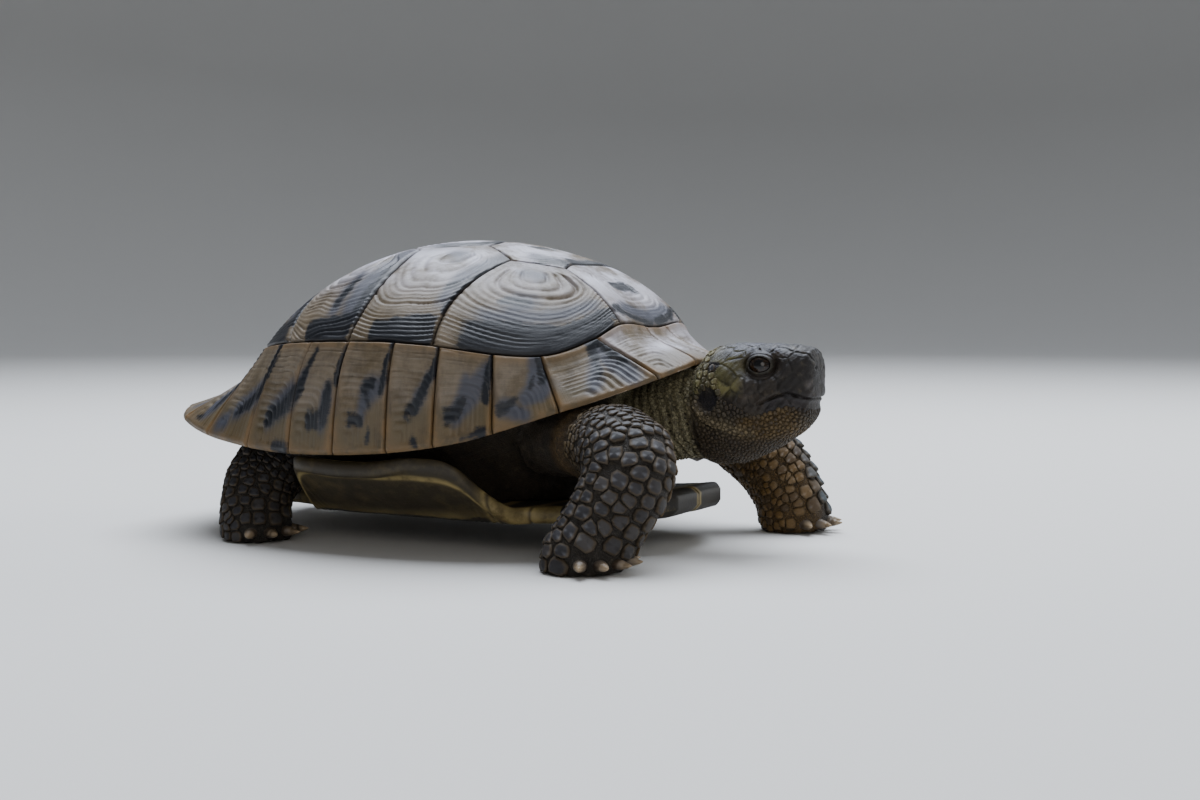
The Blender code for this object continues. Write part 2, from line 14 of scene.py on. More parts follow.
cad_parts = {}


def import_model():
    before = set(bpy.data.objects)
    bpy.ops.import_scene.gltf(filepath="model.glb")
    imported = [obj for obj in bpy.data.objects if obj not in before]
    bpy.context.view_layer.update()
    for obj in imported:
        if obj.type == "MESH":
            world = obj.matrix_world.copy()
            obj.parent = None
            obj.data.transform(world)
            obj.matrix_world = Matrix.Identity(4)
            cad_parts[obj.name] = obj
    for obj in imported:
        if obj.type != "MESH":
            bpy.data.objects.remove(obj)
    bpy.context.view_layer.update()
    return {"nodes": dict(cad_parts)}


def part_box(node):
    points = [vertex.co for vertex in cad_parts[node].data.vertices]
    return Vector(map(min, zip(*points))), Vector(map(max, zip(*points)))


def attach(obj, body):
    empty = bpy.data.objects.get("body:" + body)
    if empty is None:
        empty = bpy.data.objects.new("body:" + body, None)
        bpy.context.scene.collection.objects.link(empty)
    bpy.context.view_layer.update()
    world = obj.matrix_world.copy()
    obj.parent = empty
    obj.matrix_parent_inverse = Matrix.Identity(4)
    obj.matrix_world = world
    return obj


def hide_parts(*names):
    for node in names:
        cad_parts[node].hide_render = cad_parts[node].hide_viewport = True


# Lengths are in millimetres until a mesh is finished, in the shell's own frame: x forwards from the middle
# of the carapace, y to the animal's left, z up from the floor.
MM = 0.001

# ---------------------------------------------------------------- the carapace, as the solids have it

CARAPACE_FRONT = 82.0
CARAPACE_REAR = 87.0
CARAPACE_HALF_WIDTH = 62.0
OUTLINE_POWER = 2.35
REAR_WIDENING = 0.063
APEX_X = 8.0
APEX_Z = 85.5
SEAM_RADIUS = 0.70
PLATE_THICKNESS = 2.8
RIM_THICKNESS = 1.9
SEAM_GAP = 0.36

# Each table holds (degrees round from the front, value).
RIM_HEIGHT = [(0, 52), (20, 48), (45, 40), (70, 30.5), (95, 26.5), (115, 29), (140, 34), (157, 36), (180, 31)]
SEAM_HEIGHT = [(0, 61), (18, 62), (30, 58), (45, 54), (60, 54.5), (75, 57), (90, 57.5), (130, 54), (180, 52)]
SEAM_REACH = [
    (0, 0.79), (30, 0.84), (60, 0.93), (90, 0.955), (115, 0.81), (140, 0.66), (160, 0.645), (180, 0.70),
]
RIM_DIP = [(0, 38), (30, 42), (60, 70), (95, 92), (125, 60), (152, 18), (180, 50)]
DOME_POWER = [(0, 1.80), (60, 1.98), (180, 1.98)]
DOME_TURN = [(0, 72), (60, 72), (100, 68), (125, 55), (145, 48), (180, 48)]

MARGINAL_TOPS = [5, 29, 47, 59, 70.5, 79.5, 88, 94, 102.5, 118, 138, 160, 180]
MARGINAL_FEET = [5, 19, 45.5, 60, 72, 81, 90, 97, 107, 121, 137, 157, 180]
COSTAL_FEET = [18, 72, 88.3, 100.5, 150]
VERTEBRAL_SEAMS = [(0.36, 0.155), (0.09, 0.14), (-0.13, 0.14), (-0.36, 0.13)]
VERTEBRAL_CORNERS = [(0.20, 0.215), (-0.015, 0.215), (-0.24, 0.20)]
COSTAL_BOWS = [0.0, 0.05, -0.02, 0.0, 0.0]


def curve_through(table, at):
    """Smooth values at `at`, through (place, value) pairs in rising order of place."""
    places, values = (np.array(column, float) for column in zip(*table))
    i = np.clip(np.searchsorted(places, at, side="right") - 1, 0, len(places) - 2)
    before, after = np.maximum(i - 1, 0), np.minimum(i + 2, len(places) - 1)
    span = places[i + 1] - places[i]
    t = (at - places[i]) / span
    leave = (values[i + 1] - values[before]) / (places[i + 1] - places[before]) * span
    arrive = (values[after] - values[i]) / (places[after] - places[i]) * span
    start, end = (2 * t**3 - 3 * t**2 + 1) * values[i], (3 * t**2 - 2 * t**3) * values[i + 1]
    return start + end + (t**3 - 2 * t**2 + t) * leave + (t**3 - t**2) * arrive


def by_angle(table, phi):
    """curve_through for a quantity that is even about the front and about the rear."""
    both_ways = [(-table[1][0], table[1][1]), *table, (360 - table[-2][0], table[-2][1])]
    return curve_through(both_ways, np.abs(np.degrees(phi)))


def signed_power(value, power):
    """A power of the value's size, with the value's own sign."""
    return np.sign(value) * np.abs(value) ** power


def carapace(disc):
    """Points on the outer surface from points (p, q) of a disc of radius 1: p forwards, q to the left."""
    p, q = disc[..., 0], disc[..., 1]
    radius, phi = np.hypot(p, q), np.arctan2(q, p)
    c, s = np.cos(phi), np.sin(phi)
    rim_x = signed_power(c, 2 / OUTLINE_POWER) * np.where(c > 0, CARAPACE_FRONT, CARAPACE_REAR)
    rim_y = signed_power(s, 2 / OUTLINE_POWER) * CARAPACE_HALF_WIDTH * (1 - REAR_WIDENING * c)
    rim_span, reach = np.hypot(rim_x, rim_y), by_angle(SEAM_REACH, phi)
    seam_z, rim_z = by_angle(SEAM_HEIGHT, phi), by_angle(RIM_HEIGHT, phi)
    full_turn = np.radians(by_angle(DOME_TURN, phi))
    turn = full_turn * np.minimum(radius / SEAM_RADIUS, 1.0)
    power = 2 / by_angle(DOME_POWER, phi)
    dome_out = (np.sin(turn) / np.sin(full_turn)) ** power
    low = np.cos(full_turn) ** power
    dome_z = seam_z + (APEX_Z - seam_z) * (np.cos(turn) ** power - low) / (1 - low)
    dome_x, dome_y = APEX_X * (1 - dome_out) + rim_x * reach * dome_out, rim_y * reach * dome_out
    t = np.clip((radius - SEAM_RADIUS) / (1 - SEAM_RADIUS), 0, 1.2)
    out_speed = rim_span * reach * np.cos(full_turn) / np.sin(full_turn)
    down_speed = (APEX_Z - seam_z) * np.sin(full_turn) / (1 - np.cos(full_turn))
    span = np.hypot(rim_span * (1 - reach), seam_z - rim_z)
    scale = span / np.hypot(out_speed, down_speed)
    dip = np.radians(by_angle(RIM_DIP, phi))
    h_start, h_leave = 2 * t**3 - 3 * t**2 + 1, t**3 - 2 * t**2 + t
    h_end, h_arrive = 3 * t**2 - 2 * t**3, t**3 - t**2
    ring_out = rim_span * (h_start * reach + h_end) + h_leave * out_speed * scale
    ring_out = ring_out + h_arrive * span * np.cos(dip)
    ring_z = h_start * seam_z - h_leave * down_speed * scale + h_end * rim_z - h_arrive * span * np.sin(dip)
    ring_x, ring_y = rim_x / rim_span * ring_out, rim_y / rim_span * ring_out
    on_dome = (radius <= SEAM_RADIUS)[..., None]
    return np.where(on_dome, np.stack([dome_x, dome_y, dome_z], -1), np.stack([ring_x, ring_y, ring_z], -1))


def unit(vectors):
    return vectors / np.maximum(np.linalg.norm(vectors, axis=-1, keepdims=True), 1e-12)


def carapace_normal(disc):
    """The outward direction at disc points, from short steps both ways across the surface."""
    step = 0.004
    along_p = carapace(disc + (step, 0)) - carapace(disc - (step, 0))
    along_q = carapace(disc + (0, step)) - carapace(disc - (0, step))
    return unit(np.cross(along_p, along_q))


def arc(radius, start, end):
    """An edge along a circle of the disc, as a function of 0 to 1."""

    def at(t):
        angle = np.radians(start + (end - start) * np.asarray(t, float))
        return np.stack([radius * np.cos(angle), radius * np.sin(angle)], -1)

    return at


def chain(*points):
    """An edge through disc points, as a function of 0 to 1."""
    stops = np.array(points, float)
    lengths = np.concatenate([[0.0], np.cumsum(np.linalg.norm(np.diff(stops, axis=0), axis=1))])
    return lambda t: np.stack(
        [np.interp(np.asarray(t, float) * lengths[-1], lengths, stops[:, axis]) for axis in (0, 1)], -1
    )


def bowed(start, end, bow):
    """An edge whose control point lies to the rear of its middle, as a function of 0 to 1."""
    middle = (start + end) / 2 - np.array([bow, 0.0])

    def at(t):
        t = np.asarray(t, float)[..., None]
        return start * (1 - t) ** 2 + middle * 2 * t * (1 - t) + end * t**2

    return at


def patch(foot, top, front, rear):
    """Disc points for (u, v) inside four edges: foot and top run rearward, front and rear run upward."""

    def at(u, v):
        a, b = np.asarray(u, float)[..., None], np.asarray(v, float)[..., None]
        corners = foot(0.0) * (1 - a) * (1 - b) + foot(1.0) * a * (1 - b)
        corners = corners + top(0.0) * (1 - a) * b + top(1.0) * a * b
        return foot(u) * (1 - b) + top(u) * b + front(v) * (1 - a) + rear(v) * a - corners

    return at


def mirrored(edge, side):
    """The edge itself for side 1, and its mirror image on the right for side -1."""
    return lambda t: edge(t) * (1, side)


def vertebral_places():
    """The five plates along the middle, front to rear."""
    seams, corners = VERTEBRAL_SEAMS, VERTEBRAL_CORNERS
    shoulder = arc(SEAM_RADIUS, COSTAL_FEET[0], COSTAL_FEET[0])(0.0)
    hip = arc(SEAM_RADIUS, COSTAL_FEET[-1], COSTAL_FEET[-1])(0.0)
    middle_sides = [[seams[i], corners[i], seams[i + 1]] for i in range(3)]
    sides = [[shoulder, seams[0]], *middle_sides, [seams[3], hip]]
    for number, side in enumerate(sides, 1):
        left = chain(*side)
        right = mirrored(left, -1)
        foot, top = chain(right(0.0), left(0.0)), chain(right(1.0), left(1.0))
        if number == 1:
            foot = arc(SEAM_RADIUS, -COSTAL_FEET[0], COSTAL_FEET[0])
        if number == 5:
            top = arc(SEAM_RADIUS, 360 - COSTAL_FEET[-1], COSTAL_FEET[-1])
        yield f"vertebral_{number}", patch(foot, top, right, left)


def costal_places(side, side_name):
    """The four large plates of one side, front to rear."""
    seams, corners = VERTEBRAL_SEAMS, VERTEBRAL_CORNERS
    inner = [
        [seams[0], corners[0]],
        [corners[0], seams[1], corners[1]],
        [corners[1], seams[2], corners[2]],
        [corners[2], seams[3]],
    ]
    for number in range(1, 5):
        foot = arc(SEAM_RADIUS, COSTAL_FEET[number - 1], COSTAL_FEET[number])
        top = chain(*inner[number - 1])
        front, rear = (bowed(foot(k), top(k), COSTAL_BOWS[number - 1 + int(k)]) for k in (0.0, 1.0))
        edges = [mirrored(edge, side) for edge in (foot, top, front, rear)]
        yield f"costal_{side_name}_{number}", patch(*edges)


def marginal_place(tops, feet, side=1):
    """A rim plate between two pairs of angles, in degrees: those of its top edge and of its foot."""
    foot = mirrored(arc(1.0, feet[0], feet[1]), side)
    top = mirrored(arc(SEAM_RADIUS, tops[0], tops[1]), side)
    return patch(foot, top, chain(foot(0.0), top(0.0)), chain(foot(1.0), top(1.0)))


def marginal_places(side, side_name):
    """The eleven plates of one side's rim and the half of the tail plate, front to rear."""
    for number in range(1, 12):
        tops, feet = (table[number - 1 : number + 1] for table in (MARGINAL_TOPS, MARGINAL_FEET))
        yield f"marginal_{side_name}_{number}", marginal_place(tops, feet, side)
    yield f"supracaudal_{side_name}", marginal_place(MARGINAL_TOPS[-2:], MARGINAL_FEET[-2:], side)


def nuchal_place():
    return marginal_place((-MARGINAL_TOPS[0], MARGINAL_TOPS[0]), (-MARGINAL_FEET[0], MARGINAL_FEET[0]))


def all_places():
    """Every plate of the carapace by name, as a function from its own (u, v) square to the disc."""
    places = dict(vertebral_places())
    for side, side_name in ((1, "left"), (-1, "right")):
        places.update(costal_places(side, side_name))
        places.update(marginal_places(side, side_name))
    places["nuchal"] = nuchal_place()
    return places


# ---------------------------------------------------------------- finishes


class Reading:
    """A number or colour that varies over a surface. Arithmetic on it adds Math nodes."""

    def __init__(self, tree, socket):
        self.tree, self.socket = tree, socket

    def reckon(self, operation, *terms):
        node = self.tree.nodes.new("ShaderNodeMath")
        node.operation = operation
        for port, term in zip(node.inputs, terms):
            feed(self.tree, port, term)
        return Reading(self.tree, node.outputs[0])

    def __add__(self, other):
        return self.reckon("ADD", self, other)

    def __sub__(self, other):
        return self.reckon("SUBTRACT", self, other)

    def __rsub__(self, other):
        return self.reckon("SUBTRACT", other, self)

    def __mul__(self, other):
        return self.reckon("MULTIPLY", self, other)

    __radd__, __rmul__ = __add__, __mul__

    def most(self, other):
        return self.reckon("MAXIMUM", self, other)

    def least(self, other):
        return self.reckon("MINIMUM", self, other)


def feed(tree, port, value):
    """Sets a socket, or links it where the value varies."""
    if isinstance(value, Reading):
        tree.links.new(value.socket, port)
    elif isinstance(value, (tuple, list)) and port.type == "RGBA":
        port.default_value = (*value[:3], 1.0)
    else:
        port.default_value = value


class Finish:
    """One material: a Principled surface and the nodes that vary it."""

    def __init__(self, name, **constants):
        self.material = bpy.data.materials.new(name)
        self.material.use_nodes = True
        self.tree = self.material.node_tree
        self.shader = self.tree.nodes["Principled BSDF"]
        for socket, value in constants.items():
            feed(self.tree, self.shader.inputs[socket.replace("_", " ")], value)

    def node(self, kind, settings=(), inputs=(), output=0):
        node = self.tree.nodes.new("ShaderNode" + kind)
        for name, value in dict(settings).items():
            setattr(node, name, value)
        for port, value in dict(inputs).items():
            feed(self.tree, node.inputs[port], value)
        return Reading(self.tree, node.outputs[output])

    def place(self):
        return self.node("TexCoord", output="Object")

    def field(self, name):
        return self.node("Attribute", {"attribute_name": name}, output="Fac")

    def noise(self, scale, detail=2.0, at=None, roughness=0.5, distortion=0.0):
        vector = self.place() if at is None else at
        inputs = {"Vector": vector, "Scale": scale, "Detail": detail, "Roughness": roughness}
        return self.node("TexNoise", {}, inputs | {"Distortion": distortion}, "Fac")

    def cell_edges(self, scale):
        """How far each point lies from the edge of its cell."""
        inputs = {"Vector": self.place(), "Scale": scale, "Randomness": 1.0}
        return self.node("TexVoronoi", {"feature": "DISTANCE_TO_EDGE"}, inputs, "Distance")

    def joined(self, x, y, z=0.0):
        return self.node("CombineXYZ", {}, {0: x, 1: y, 2: z})

    def step(self, value, start, end):
        inputs = {"Value": value, "From Min": start, "From Max": end}
        return self.node("MapRange", {"interpolation_type": "SMOOTHSTEP"}, inputs, "Result")

    def blend(self, share, first, second):
        inputs = {0: share, 6: first, 7: second}
        return self.node("Mix", {"data_type": "RGBA", "blend_type": "MIX", "clamp_factor": True}, inputs, 2)

    def colour(self, value):
        feed(self.tree, self.shader.inputs["Base Color"], value)

    def rough(self, value):
        feed(self.tree, self.shader.inputs["Roughness"], value)

    def bump(self, height, depth):
        """Relief whose full height is `depth` millimetres."""
        inputs = {"Height": height, "Distance": depth * MM, "Strength": 1.0}
        feed(self.tree, self.shader.inputs["Normal"], self.node("Bump", {}, inputs, "Normal"))


OLD_HORN = (0.066, 0.047, 0.024)
YOUNG_HORN = (0.138, 0.102, 0.056)
# Pale lilac: the pale middles of the plates and the painted sky sheen on their upper faces.
PALE_AND_SHEEN_HORN = (0.42, 0.415, 0.475)
BLACK_HORN = (0.0035, 0.005, 0.009)
# Painted blue-grey sky reflection.
SKY_WASH_HORN = (0.034, 0.040, 0.060)
AMBER_HORN = (0.165, 0.096, 0.038)
SEAM_DIRT = (0.020, 0.013, 0.008)
# Painted shade in the growth-ring grooves.
GROOVE_SHADE = (0.036, 0.025, 0.016)
# Darker olive for the painted shade on the rim's lower half.
OLIVE_HORN = (0.058, 0.045, 0.019)
SCRATCHED_HORN = (0.075, 0.052, 0.030)


def plate_horn():
    """Tan horn with growth rings, black patches that keep to the rings, and amber lips along the seams; pale
    lilac painted sky sheen on the upper faces, painted blue-grey sky reflection, and painted shade in the ring
    grooves and on the rim's lower half.
    """
    finish = Finish("plate_horn", IOR=1.40, Coat_Roughness=0.35, Coat_Weight=0.03)
    rings, dark, wash = finish.field("rings"), finish.field("dark"), finish.field("wash")
    amber, pale, seam = finish.field("amber"), finish.field("pale"), finish.field("seam")
    share = rings.reckon("FRACT")
    groove = finish.step(share.least(1.0 - share) * finish.field("width"), 0.48, 0.05) * finish.field("fade")
    along, up = finish.field("along"), finish.field("up")
    streaks = finish.noise(1.0, 3.0, finish.joined(along * 1.3, up * 0.30, rings * 0.2), 0.6)
    layers = finish.noise(1.0, 4.0, finish.joined(along * 0.16, rings * 3.1, 0.0), 0.7)
    scratches = finish.noise(1.0, 3.0, finish.joined(along * 0.22, up * 2.6, 3.0), 0.7)
    mottle = finish.noise(230.0, 5.0, roughness=0.65)
    cloud = finish.noise(75.0, 3.0)
    grain = finish.noise(2600.0, 3.0, roughness=0.6)
    tone = finish.step(mottle * 0.5 + layers * 0.3 + cloud * 0.3 + streaks * 0.15, 0.46, 0.80)
    horn = finish.blend(tone, OLD_HORN, YOUNG_HORN)
    # Painted sky sheen: upward-facing plates and the front plates are drawn towards pale lilac.
    horn = finish.blend(pale * finish.step(cloud + (mottle - 0.5) * 0.5, 0.30, 0.62), horn, PALE_AND_SHEEN_HORN)
    horn = finish.blend(finish.step(scratches, 0.58, 0.75) * 0.22, horn, SCRATCHED_HORN)
    # Painted shade: the lower half of each rim plate is drawn towards a darker olive.
    shaded = finish.field("olive") * finish.step(cloud + (mottle - 0.5) * 0.6, 0.25, 0.55) * 0.75
    horn = finish.blend(shaded, horn, OLIVE_HORN)
    lip = amber * finish.step(mottle, 0.25, 0.6)
    horn = finish.blend(lip * 0.85, horn, AMBER_HORN)
    # Painted blue-grey sky reflection where the plate's drawn strokes lie.
    sky_washed = finish.step(wash + (mottle - 0.5) * 0.7 + (scratches - 0.5) * 0.35, 0.1, 0.75)
    horn = finish.blend(sky_washed * 0.85, horn, SKY_WASH_HORN)
    ragged = dark + (mottle - 0.5) * 0.24 + (cloud - 0.5) * 0.14 + (scratches - 0.5) * 0.08
    black = finish.step(ragged, -0.06, 0.012)
    # Scratches in the black patches are drawn towards the painted blue-grey sky reflection.
    worn = finish.step(scratches * 0.7 + layers * 0.3, 0.56, 0.74) * 0.16
    ink = finish.blend(worn, BLACK_HORN, SKY_WASH_HORN)
    horn = finish.blend(black * 0.98, horn, ink)
    # Painted shade in the ring grooves, weaker over the black patches.
    horn = finish.blend(groove * 0.8 * (1.0 - black * 0.7), horn, GROOVE_SHADE)
    horn = finish.blend(seam * 0.9, horn, SEAM_DIRT)
    finish.colour(horn)
    finish.rough(0.48 + (grain - 0.5) * 0.25 + (layers - 0.5) * 0.2 - black * 0.05 + seam * 0.3)
    fine = layers * 0.35 + streaks * 0.18 + scratches * 0.35 + grain * 0.2 - groove * 0.8
    finish.bump(fine, 0.17)
    return finish.material


# ---------------------------------------------------------------- horny plates


def grid_slab(columns, rows):
    """A closed slab of grid cells: x and y are the place in its square, z is 1 outside and 0 inside."""
    bm = bmesh.new()
    bmesh.ops.create_grid(bm, x_segments=columns, y_segments=rows, size=0.5)
    grown = bmesh.ops.extrude_face_region(bm, geom=bm.faces[:])["geom"]
    outside = [item for item in grown if isinstance(item, bmesh.types.BMVert)]
    bmesh.ops.translate(bm, verts=bm.verts[:], vec=(0.5, 0.5, 0))
    bmesh.ops.translate(bm, verts=outside, vec=(0, 0, 1))
    return mesh_of(bm, "slab")


def mesh_of(bm, name):
    """The finished mesh of a bmesh, its faces turned outwards."""
    bmesh.ops.recalc_face_normals(bm, faces=bm.faces[:])
    mesh = bpy.data.meshes.new(name)
    bm.to_mesh(mesh)
    bm.free()
    return mesh


def read_rows(items, key, width, kind=np.float32):
    """One value of every item of a mesh, as rows."""
    flat = np.empty(len(items) * width, kind)
    items.foreach_get(key, flat)
    return flat.reshape(-1, width)


def points_of(mesh):
    return read_rows(mesh.vertices, "co", 3).astype(float)


def normals_of(mesh):
    return read_rows(mesh.vertices, "normal", 3).astype(float)


def edges_of(mesh):
    return read_rows(mesh.edges, "vertices", 2, np.int32)


def set_points(mesh, points):
    mesh.vertices.foreach_set("co", np.asarray(points, np.float32).ravel())
    mesh.update()


def set_field(mesh, name, values):
    """Stores a number for each point, which a finish reads by name."""
    attribute = mesh.attributes.get(name) or mesh.attributes.new(name, "FLOAT", "POINT")
    attribute.data.foreach_set("value", np.asarray(values, np.float32).ravel())


def turned_out(mesh):
    """The mesh with its faces turned to point outwards, if they all point in."""
    bm = bmesh.new()
    bm.from_mesh(mesh)
    if bm.calc_volume(signed=True) < 0:
        bmesh.ops.reverse_faces(bm, faces=bm.faces[:])
    bm.to_mesh(mesh)
    bm.free()
    return mesh


def piece(name, mesh, material, slot, *replaced):
    """An object of the model that rides on the one body and takes the place of CAD nodes."""
    mesh.name = name
    mesh.materials.clear()
    mesh.materials.append(material)
    mesh.polygons.foreach_set("use_smooth", np.ones(len(mesh.polygons), bool))
    obj = bpy.data.objects.new(name + "_skin" if name in bpy.data.objects else name, mesh)
    bpy.context.scene.collection.objects.link(obj)
    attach(obj, "root")
    if replaced:
        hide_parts(*replaced)
    return obj


# The cells of a plate's mesh: their size, and how many are drawn together into the width of a rolled edge.
CELL = 0.46
EDGE_STEPS = 4
EDGE_WIDTH = 0.9


def tightened(t, steps, edge):
    """Evenly spaced shares of 0 to 1, with the first and last few steps drawn together into `edge`."""
    near = EDGE_STEPS / steps
    return np.interp(t, [0, near, 1 - near, 1], [0, edge, 1 - edge, 1])


# Growth rings by kind of plate. Each line is where a ring ends, from 0 at the plate's oldest point to 1 at
# its edge. A heart is the place (u, v) of that oldest point. A low corner number rounds the rings off.
RING_LINES = {
    "costal": [
        0.0, 0.15, 0.26, 0.37, 0.455, 0.50, 0.56, 0.595, 0.655,
        0.70, 0.735, 0.77, 0.81, 0.85, 0.89, 0.93, 0.965, 1.0,
    ],
    "vertebral": [0.0, 0.2, 0.34, 0.46, 0.55, 0.65, 0.72, 0.80, 0.86, 0.93, 1.0],
    "marginal": [
        0.0, 0.12, 0.21, 0.29, 0.37, 0.44, 0.51, 0.57, 0.63, 0.69, 0.745, 0.80, 0.85, 0.90, 0.95, 1.0,
    ],
}
HEARTS = {"costal": (0.56, 0.80), "vertebral": (0.5, 0.56), "marginal": (0.80, 0.10)}
CORNERS = {"costal": 2.6, "vertebral": 4.0, "marginal": 6.0}
# How much the ends of a plate count in the shape of its rings, beside its foot and top.
SIDE_SHARE = {"costal": 0.20, "vertebral": 0.6, "marginal": 0.12}
# Rings narrower than the first width have no relief, and those wider than the second have all of it.
RING_FADE = {"costal": (0.65, 1.3), "vertebral": (0.65, 1.3), "marginal": (0.45, 0.95)}
RING_RELIEF = {"costal": 0.95, "vertebral": 0.60, "marginal": 0.85}
RING_WANDER = {"costal": 0.030, "vertebral": 0.016, "marginal": 0.008}
# The relief of a single ring is this share of its kind's, drawn at random.
RING_STRENGTH = (0.30, 1.30)
MOST_RINGS = 40
MARGINAL_LIP = 0.45
SEAM_DEPTH = 0.75
RIM_ROUNDING = 0.9
UNEVENNESS = 0.10
# Every plate starts this far under the smooth carapace, so that nothing stands proud of the solids.
SUNK = 0.03
# The step over which the width of a ring is measured.
RING_NUDGE = 0.2
# A plate takes a painted sky sheen from where its upward slope passes the first of these, strongest at the
# second.
SKY_SHEEN_SLOPE = (0.74, 0.98)
# These front plates take more of the pale colour with its painted sky sheen.
SKY_SHEEN_FRONT_PLATES = ("marginal_1", "nuchal", "vertebral_1")


def stroke(u, v, *stops):
    """How far inside a drawn stroke each point lies; a stop is (u, v, half width)."""
    best = np.full(u.shape, -1.0)
    for (ua, va, ra), (ub, vb, rb) in zip(stops, stops[1:]):
        du, dv = ub - ua, vb - va
        t = np.clip(((u - ua) * du + (v - va) * dv) / (du * du + dv * dv), 0, 1)
        best = np.maximum(best, ra + (rb - ra) * t - np.hypot(u - ua - du * t, v - va - dv * t))
    return best


def block(u, v, left, right, foot, top_left, top_right):
    """How far inside a four-sided block each point lies."""
    top = top_left + (top_right - top_left) * (u - left) / (right - left)
    return np.minimum(np.minimum(u - left, right - u), np.minimum(v - foot, top - v))


def both(*stops):
    """A stroke and its mirror image across the plate's middle."""
    return [list(stops), [(round(1 - u, 3), v, half_width) for u, v, half_width in stops]]


# Black patches of the plates: ("block", left, right, foot, top left, top right), or a stroke whose stops are
# (u, v, half width).
BLACK = {
    "costal_1": [
        ("block", 0.06, 0.905, -0.1, 0.25, 0.235),
        [(0.0, 0.12, 0.05), (0.03, 0.22, 0.03)],
        [(0.63, 0.465, 0.022), (0.73, 0.46, 0.02)],
    ],
    "costal_2": [
        ("block", 0.045, 0.775, -0.1, 0.225, 0.135),
        [(0.10, 0.53, 0.03), (0.19, 0.485, 0.03)],
        [(0.02, 0.3, 0.02), (0.02, 0.9, 0.02)],
    ],
    "costal_3": [
        ("block", 0.03, 0.62, -0.1, 0.21, 0.15),
        [(0.02, 0.2, 0.06), (0.02, 0.75, 0.035)],
        [(0.30, 0.32, 0.03), (0.26, 0.52, 0.02)],
    ],
    "costal_4": [
        ("block", 0.05, 0.66, -0.1, 0.20, 0.13),
        [(0.03, 0.2, 0.05), (0.03, 0.6, 0.03)],
    ],
    "marginal_2": [
        [(0.07, 1.0, 0.05), (0.09, 0.62, 0.05), (0.10, 0.3, 0.02)],
        [(0.17, 1.0, 0.045), (0.26, 0.76, 0.05), (0.38, 0.6, 0.022), (0.47, 0.38, 0.01)],
    ],
    "marginal_3": [
        [(0.03, 1.0, 0.10), (0.06, 0.72, 0.13), (0.12, 0.58, 0.06)],
        [(0.25, 0.68, 0.02), (0.36, 0.5, 0.02)],
        [(0.62, 0.37, 0.025), (0.78, 0.31, 0.05), (0.86, 0.29, 0.04)],
    ],
    "marginal_4": [
        [(0.02, 1.0, 0.045), (0.08, 0.72, 0.055), (0.12, 0.44, 0.035)],
        [(0.50, 0.42, 0.03), (0.64, 0.29, 0.06), (0.80, 0.28, 0.055)],
        [(0.15, 0.05, 0.035), (0.5, 0.05, 0.035)],
    ],
    "marginal_5": [
        [
            (0.015, 0.97, 0.03), (0.08, 0.70, 0.035), (0.28, 0.52, 0.055), (0.42, 0.36, 0.05),
            (0.58, 0.33, 0.035),
        ],
        [(0.33, 0.05, 0.025), (0.42, 0.09, 0.025)],
    ],
    "marginal_6": [
        [(0.02, 0.97, 0.03), (0.08, 0.74, 0.03), (0.12, 0.56, 0.035)],
        [(0.33, 0.60, 0.04), (0.46, 0.55, 0.05), (0.36, 0.42, 0.03)],
        [(0.50, 0.31, 0.045), (0.72, 0.30, 0.05)],
        [(0.34, 0.19, 0.02), (0.36, 0.16, 0.02)],
    ],
    "marginal_7": [
        [(0.0, 0.92, 0.02), (0.02, 0.62, 0.025)],
        [(0.13, 0.57, 0.03), (0.17, 0.33, 0.07)],
        [(0.34, 0.315, 0.055), (0.52, 0.31, 0.05)],
        [(0.72, 0.90, 0.03), (0.83, 0.62, 0.05), (1.0, 0.50, 0.06)],
    ],
    "marginal_8": [
        [(0.0, 0.52, 0.07), (0.25, 0.40, 0.075), (0.60, 0.33, 0.05)],
        [(0.92, 0.80, 0.03), (1.0, 0.55, 0.05)],
        [(0.10, 0.05, 0.04), (0.36, 0.06, 0.03)],
    ],
    "marginal_9": [
        [(0.02, 0.95, 0.03), (0.0, 0.55, 0.07), (0.24, 0.40, 0.06), (0.48, 0.33, 0.03)],
    ],
    "marginal_10": [
        [(0.02, 0.98, 0.04), (0.10, 0.62, 0.08), (0.36, 0.36, 0.05)],
        [(0.55, 0.14, 0.03), (0.72, 0.12, 0.02)],
    ],
    "marginal_11": [
        [(0.02, 0.98, 0.05), (0.12, 0.64, 0.09), (0.40, 0.34, 0.05)],
    ],
    "supracaudal": [
        [(0.02, 0.98, 0.05), (0.16, 0.60, 0.10), (0.42, 0.34, 0.06)],
        [(0.86, 0.9, 0.05), (0.92, 0.6, 0.04)],
    ],
    "vertebral_1": [
        *both((0.05, 0.20, 0.03), (0.20, 0.06, 0.03), (0.45, 0.02, 0.02)),
        [(0.42, 0.58, 0.05), (0.58, 0.58, 0.05)],
    ],
    "vertebral_2": [
        ("block", 0.22, 0.78, -0.1, 0.13, 0.13),
        *both((0.05, 0.30, 0.03), (0.12, 0.10, 0.05)),
        [(0.44, 0.56, 0.06), (0.56, 0.56, 0.06)],
    ],
    "vertebral_3": [
        ("block", 0.18, 0.82, -0.1, 0.15, 0.15),
        *both((0.05, 0.34, 0.03), (0.12, 0.10, 0.06)),
        [(0.44, 0.56, 0.06), (0.56, 0.56, 0.06)],
    ],
    "vertebral_4": [
        ("block", 0.2, 0.8, -0.1, 0.14, 0.14),
        *both((0.05, 0.34, 0.03), (0.12, 0.10, 0.06)),
        [(0.45, 0.56, 0.05), (0.55, 0.56, 0.05)],
    ],
    "vertebral_5": [
        ("block", 0.15, 0.85, -0.1, 0.18, 0.18),
        *both((0.30, 0.18, 0.07), (0.36, 0.42, 0.04)),
    ],
}
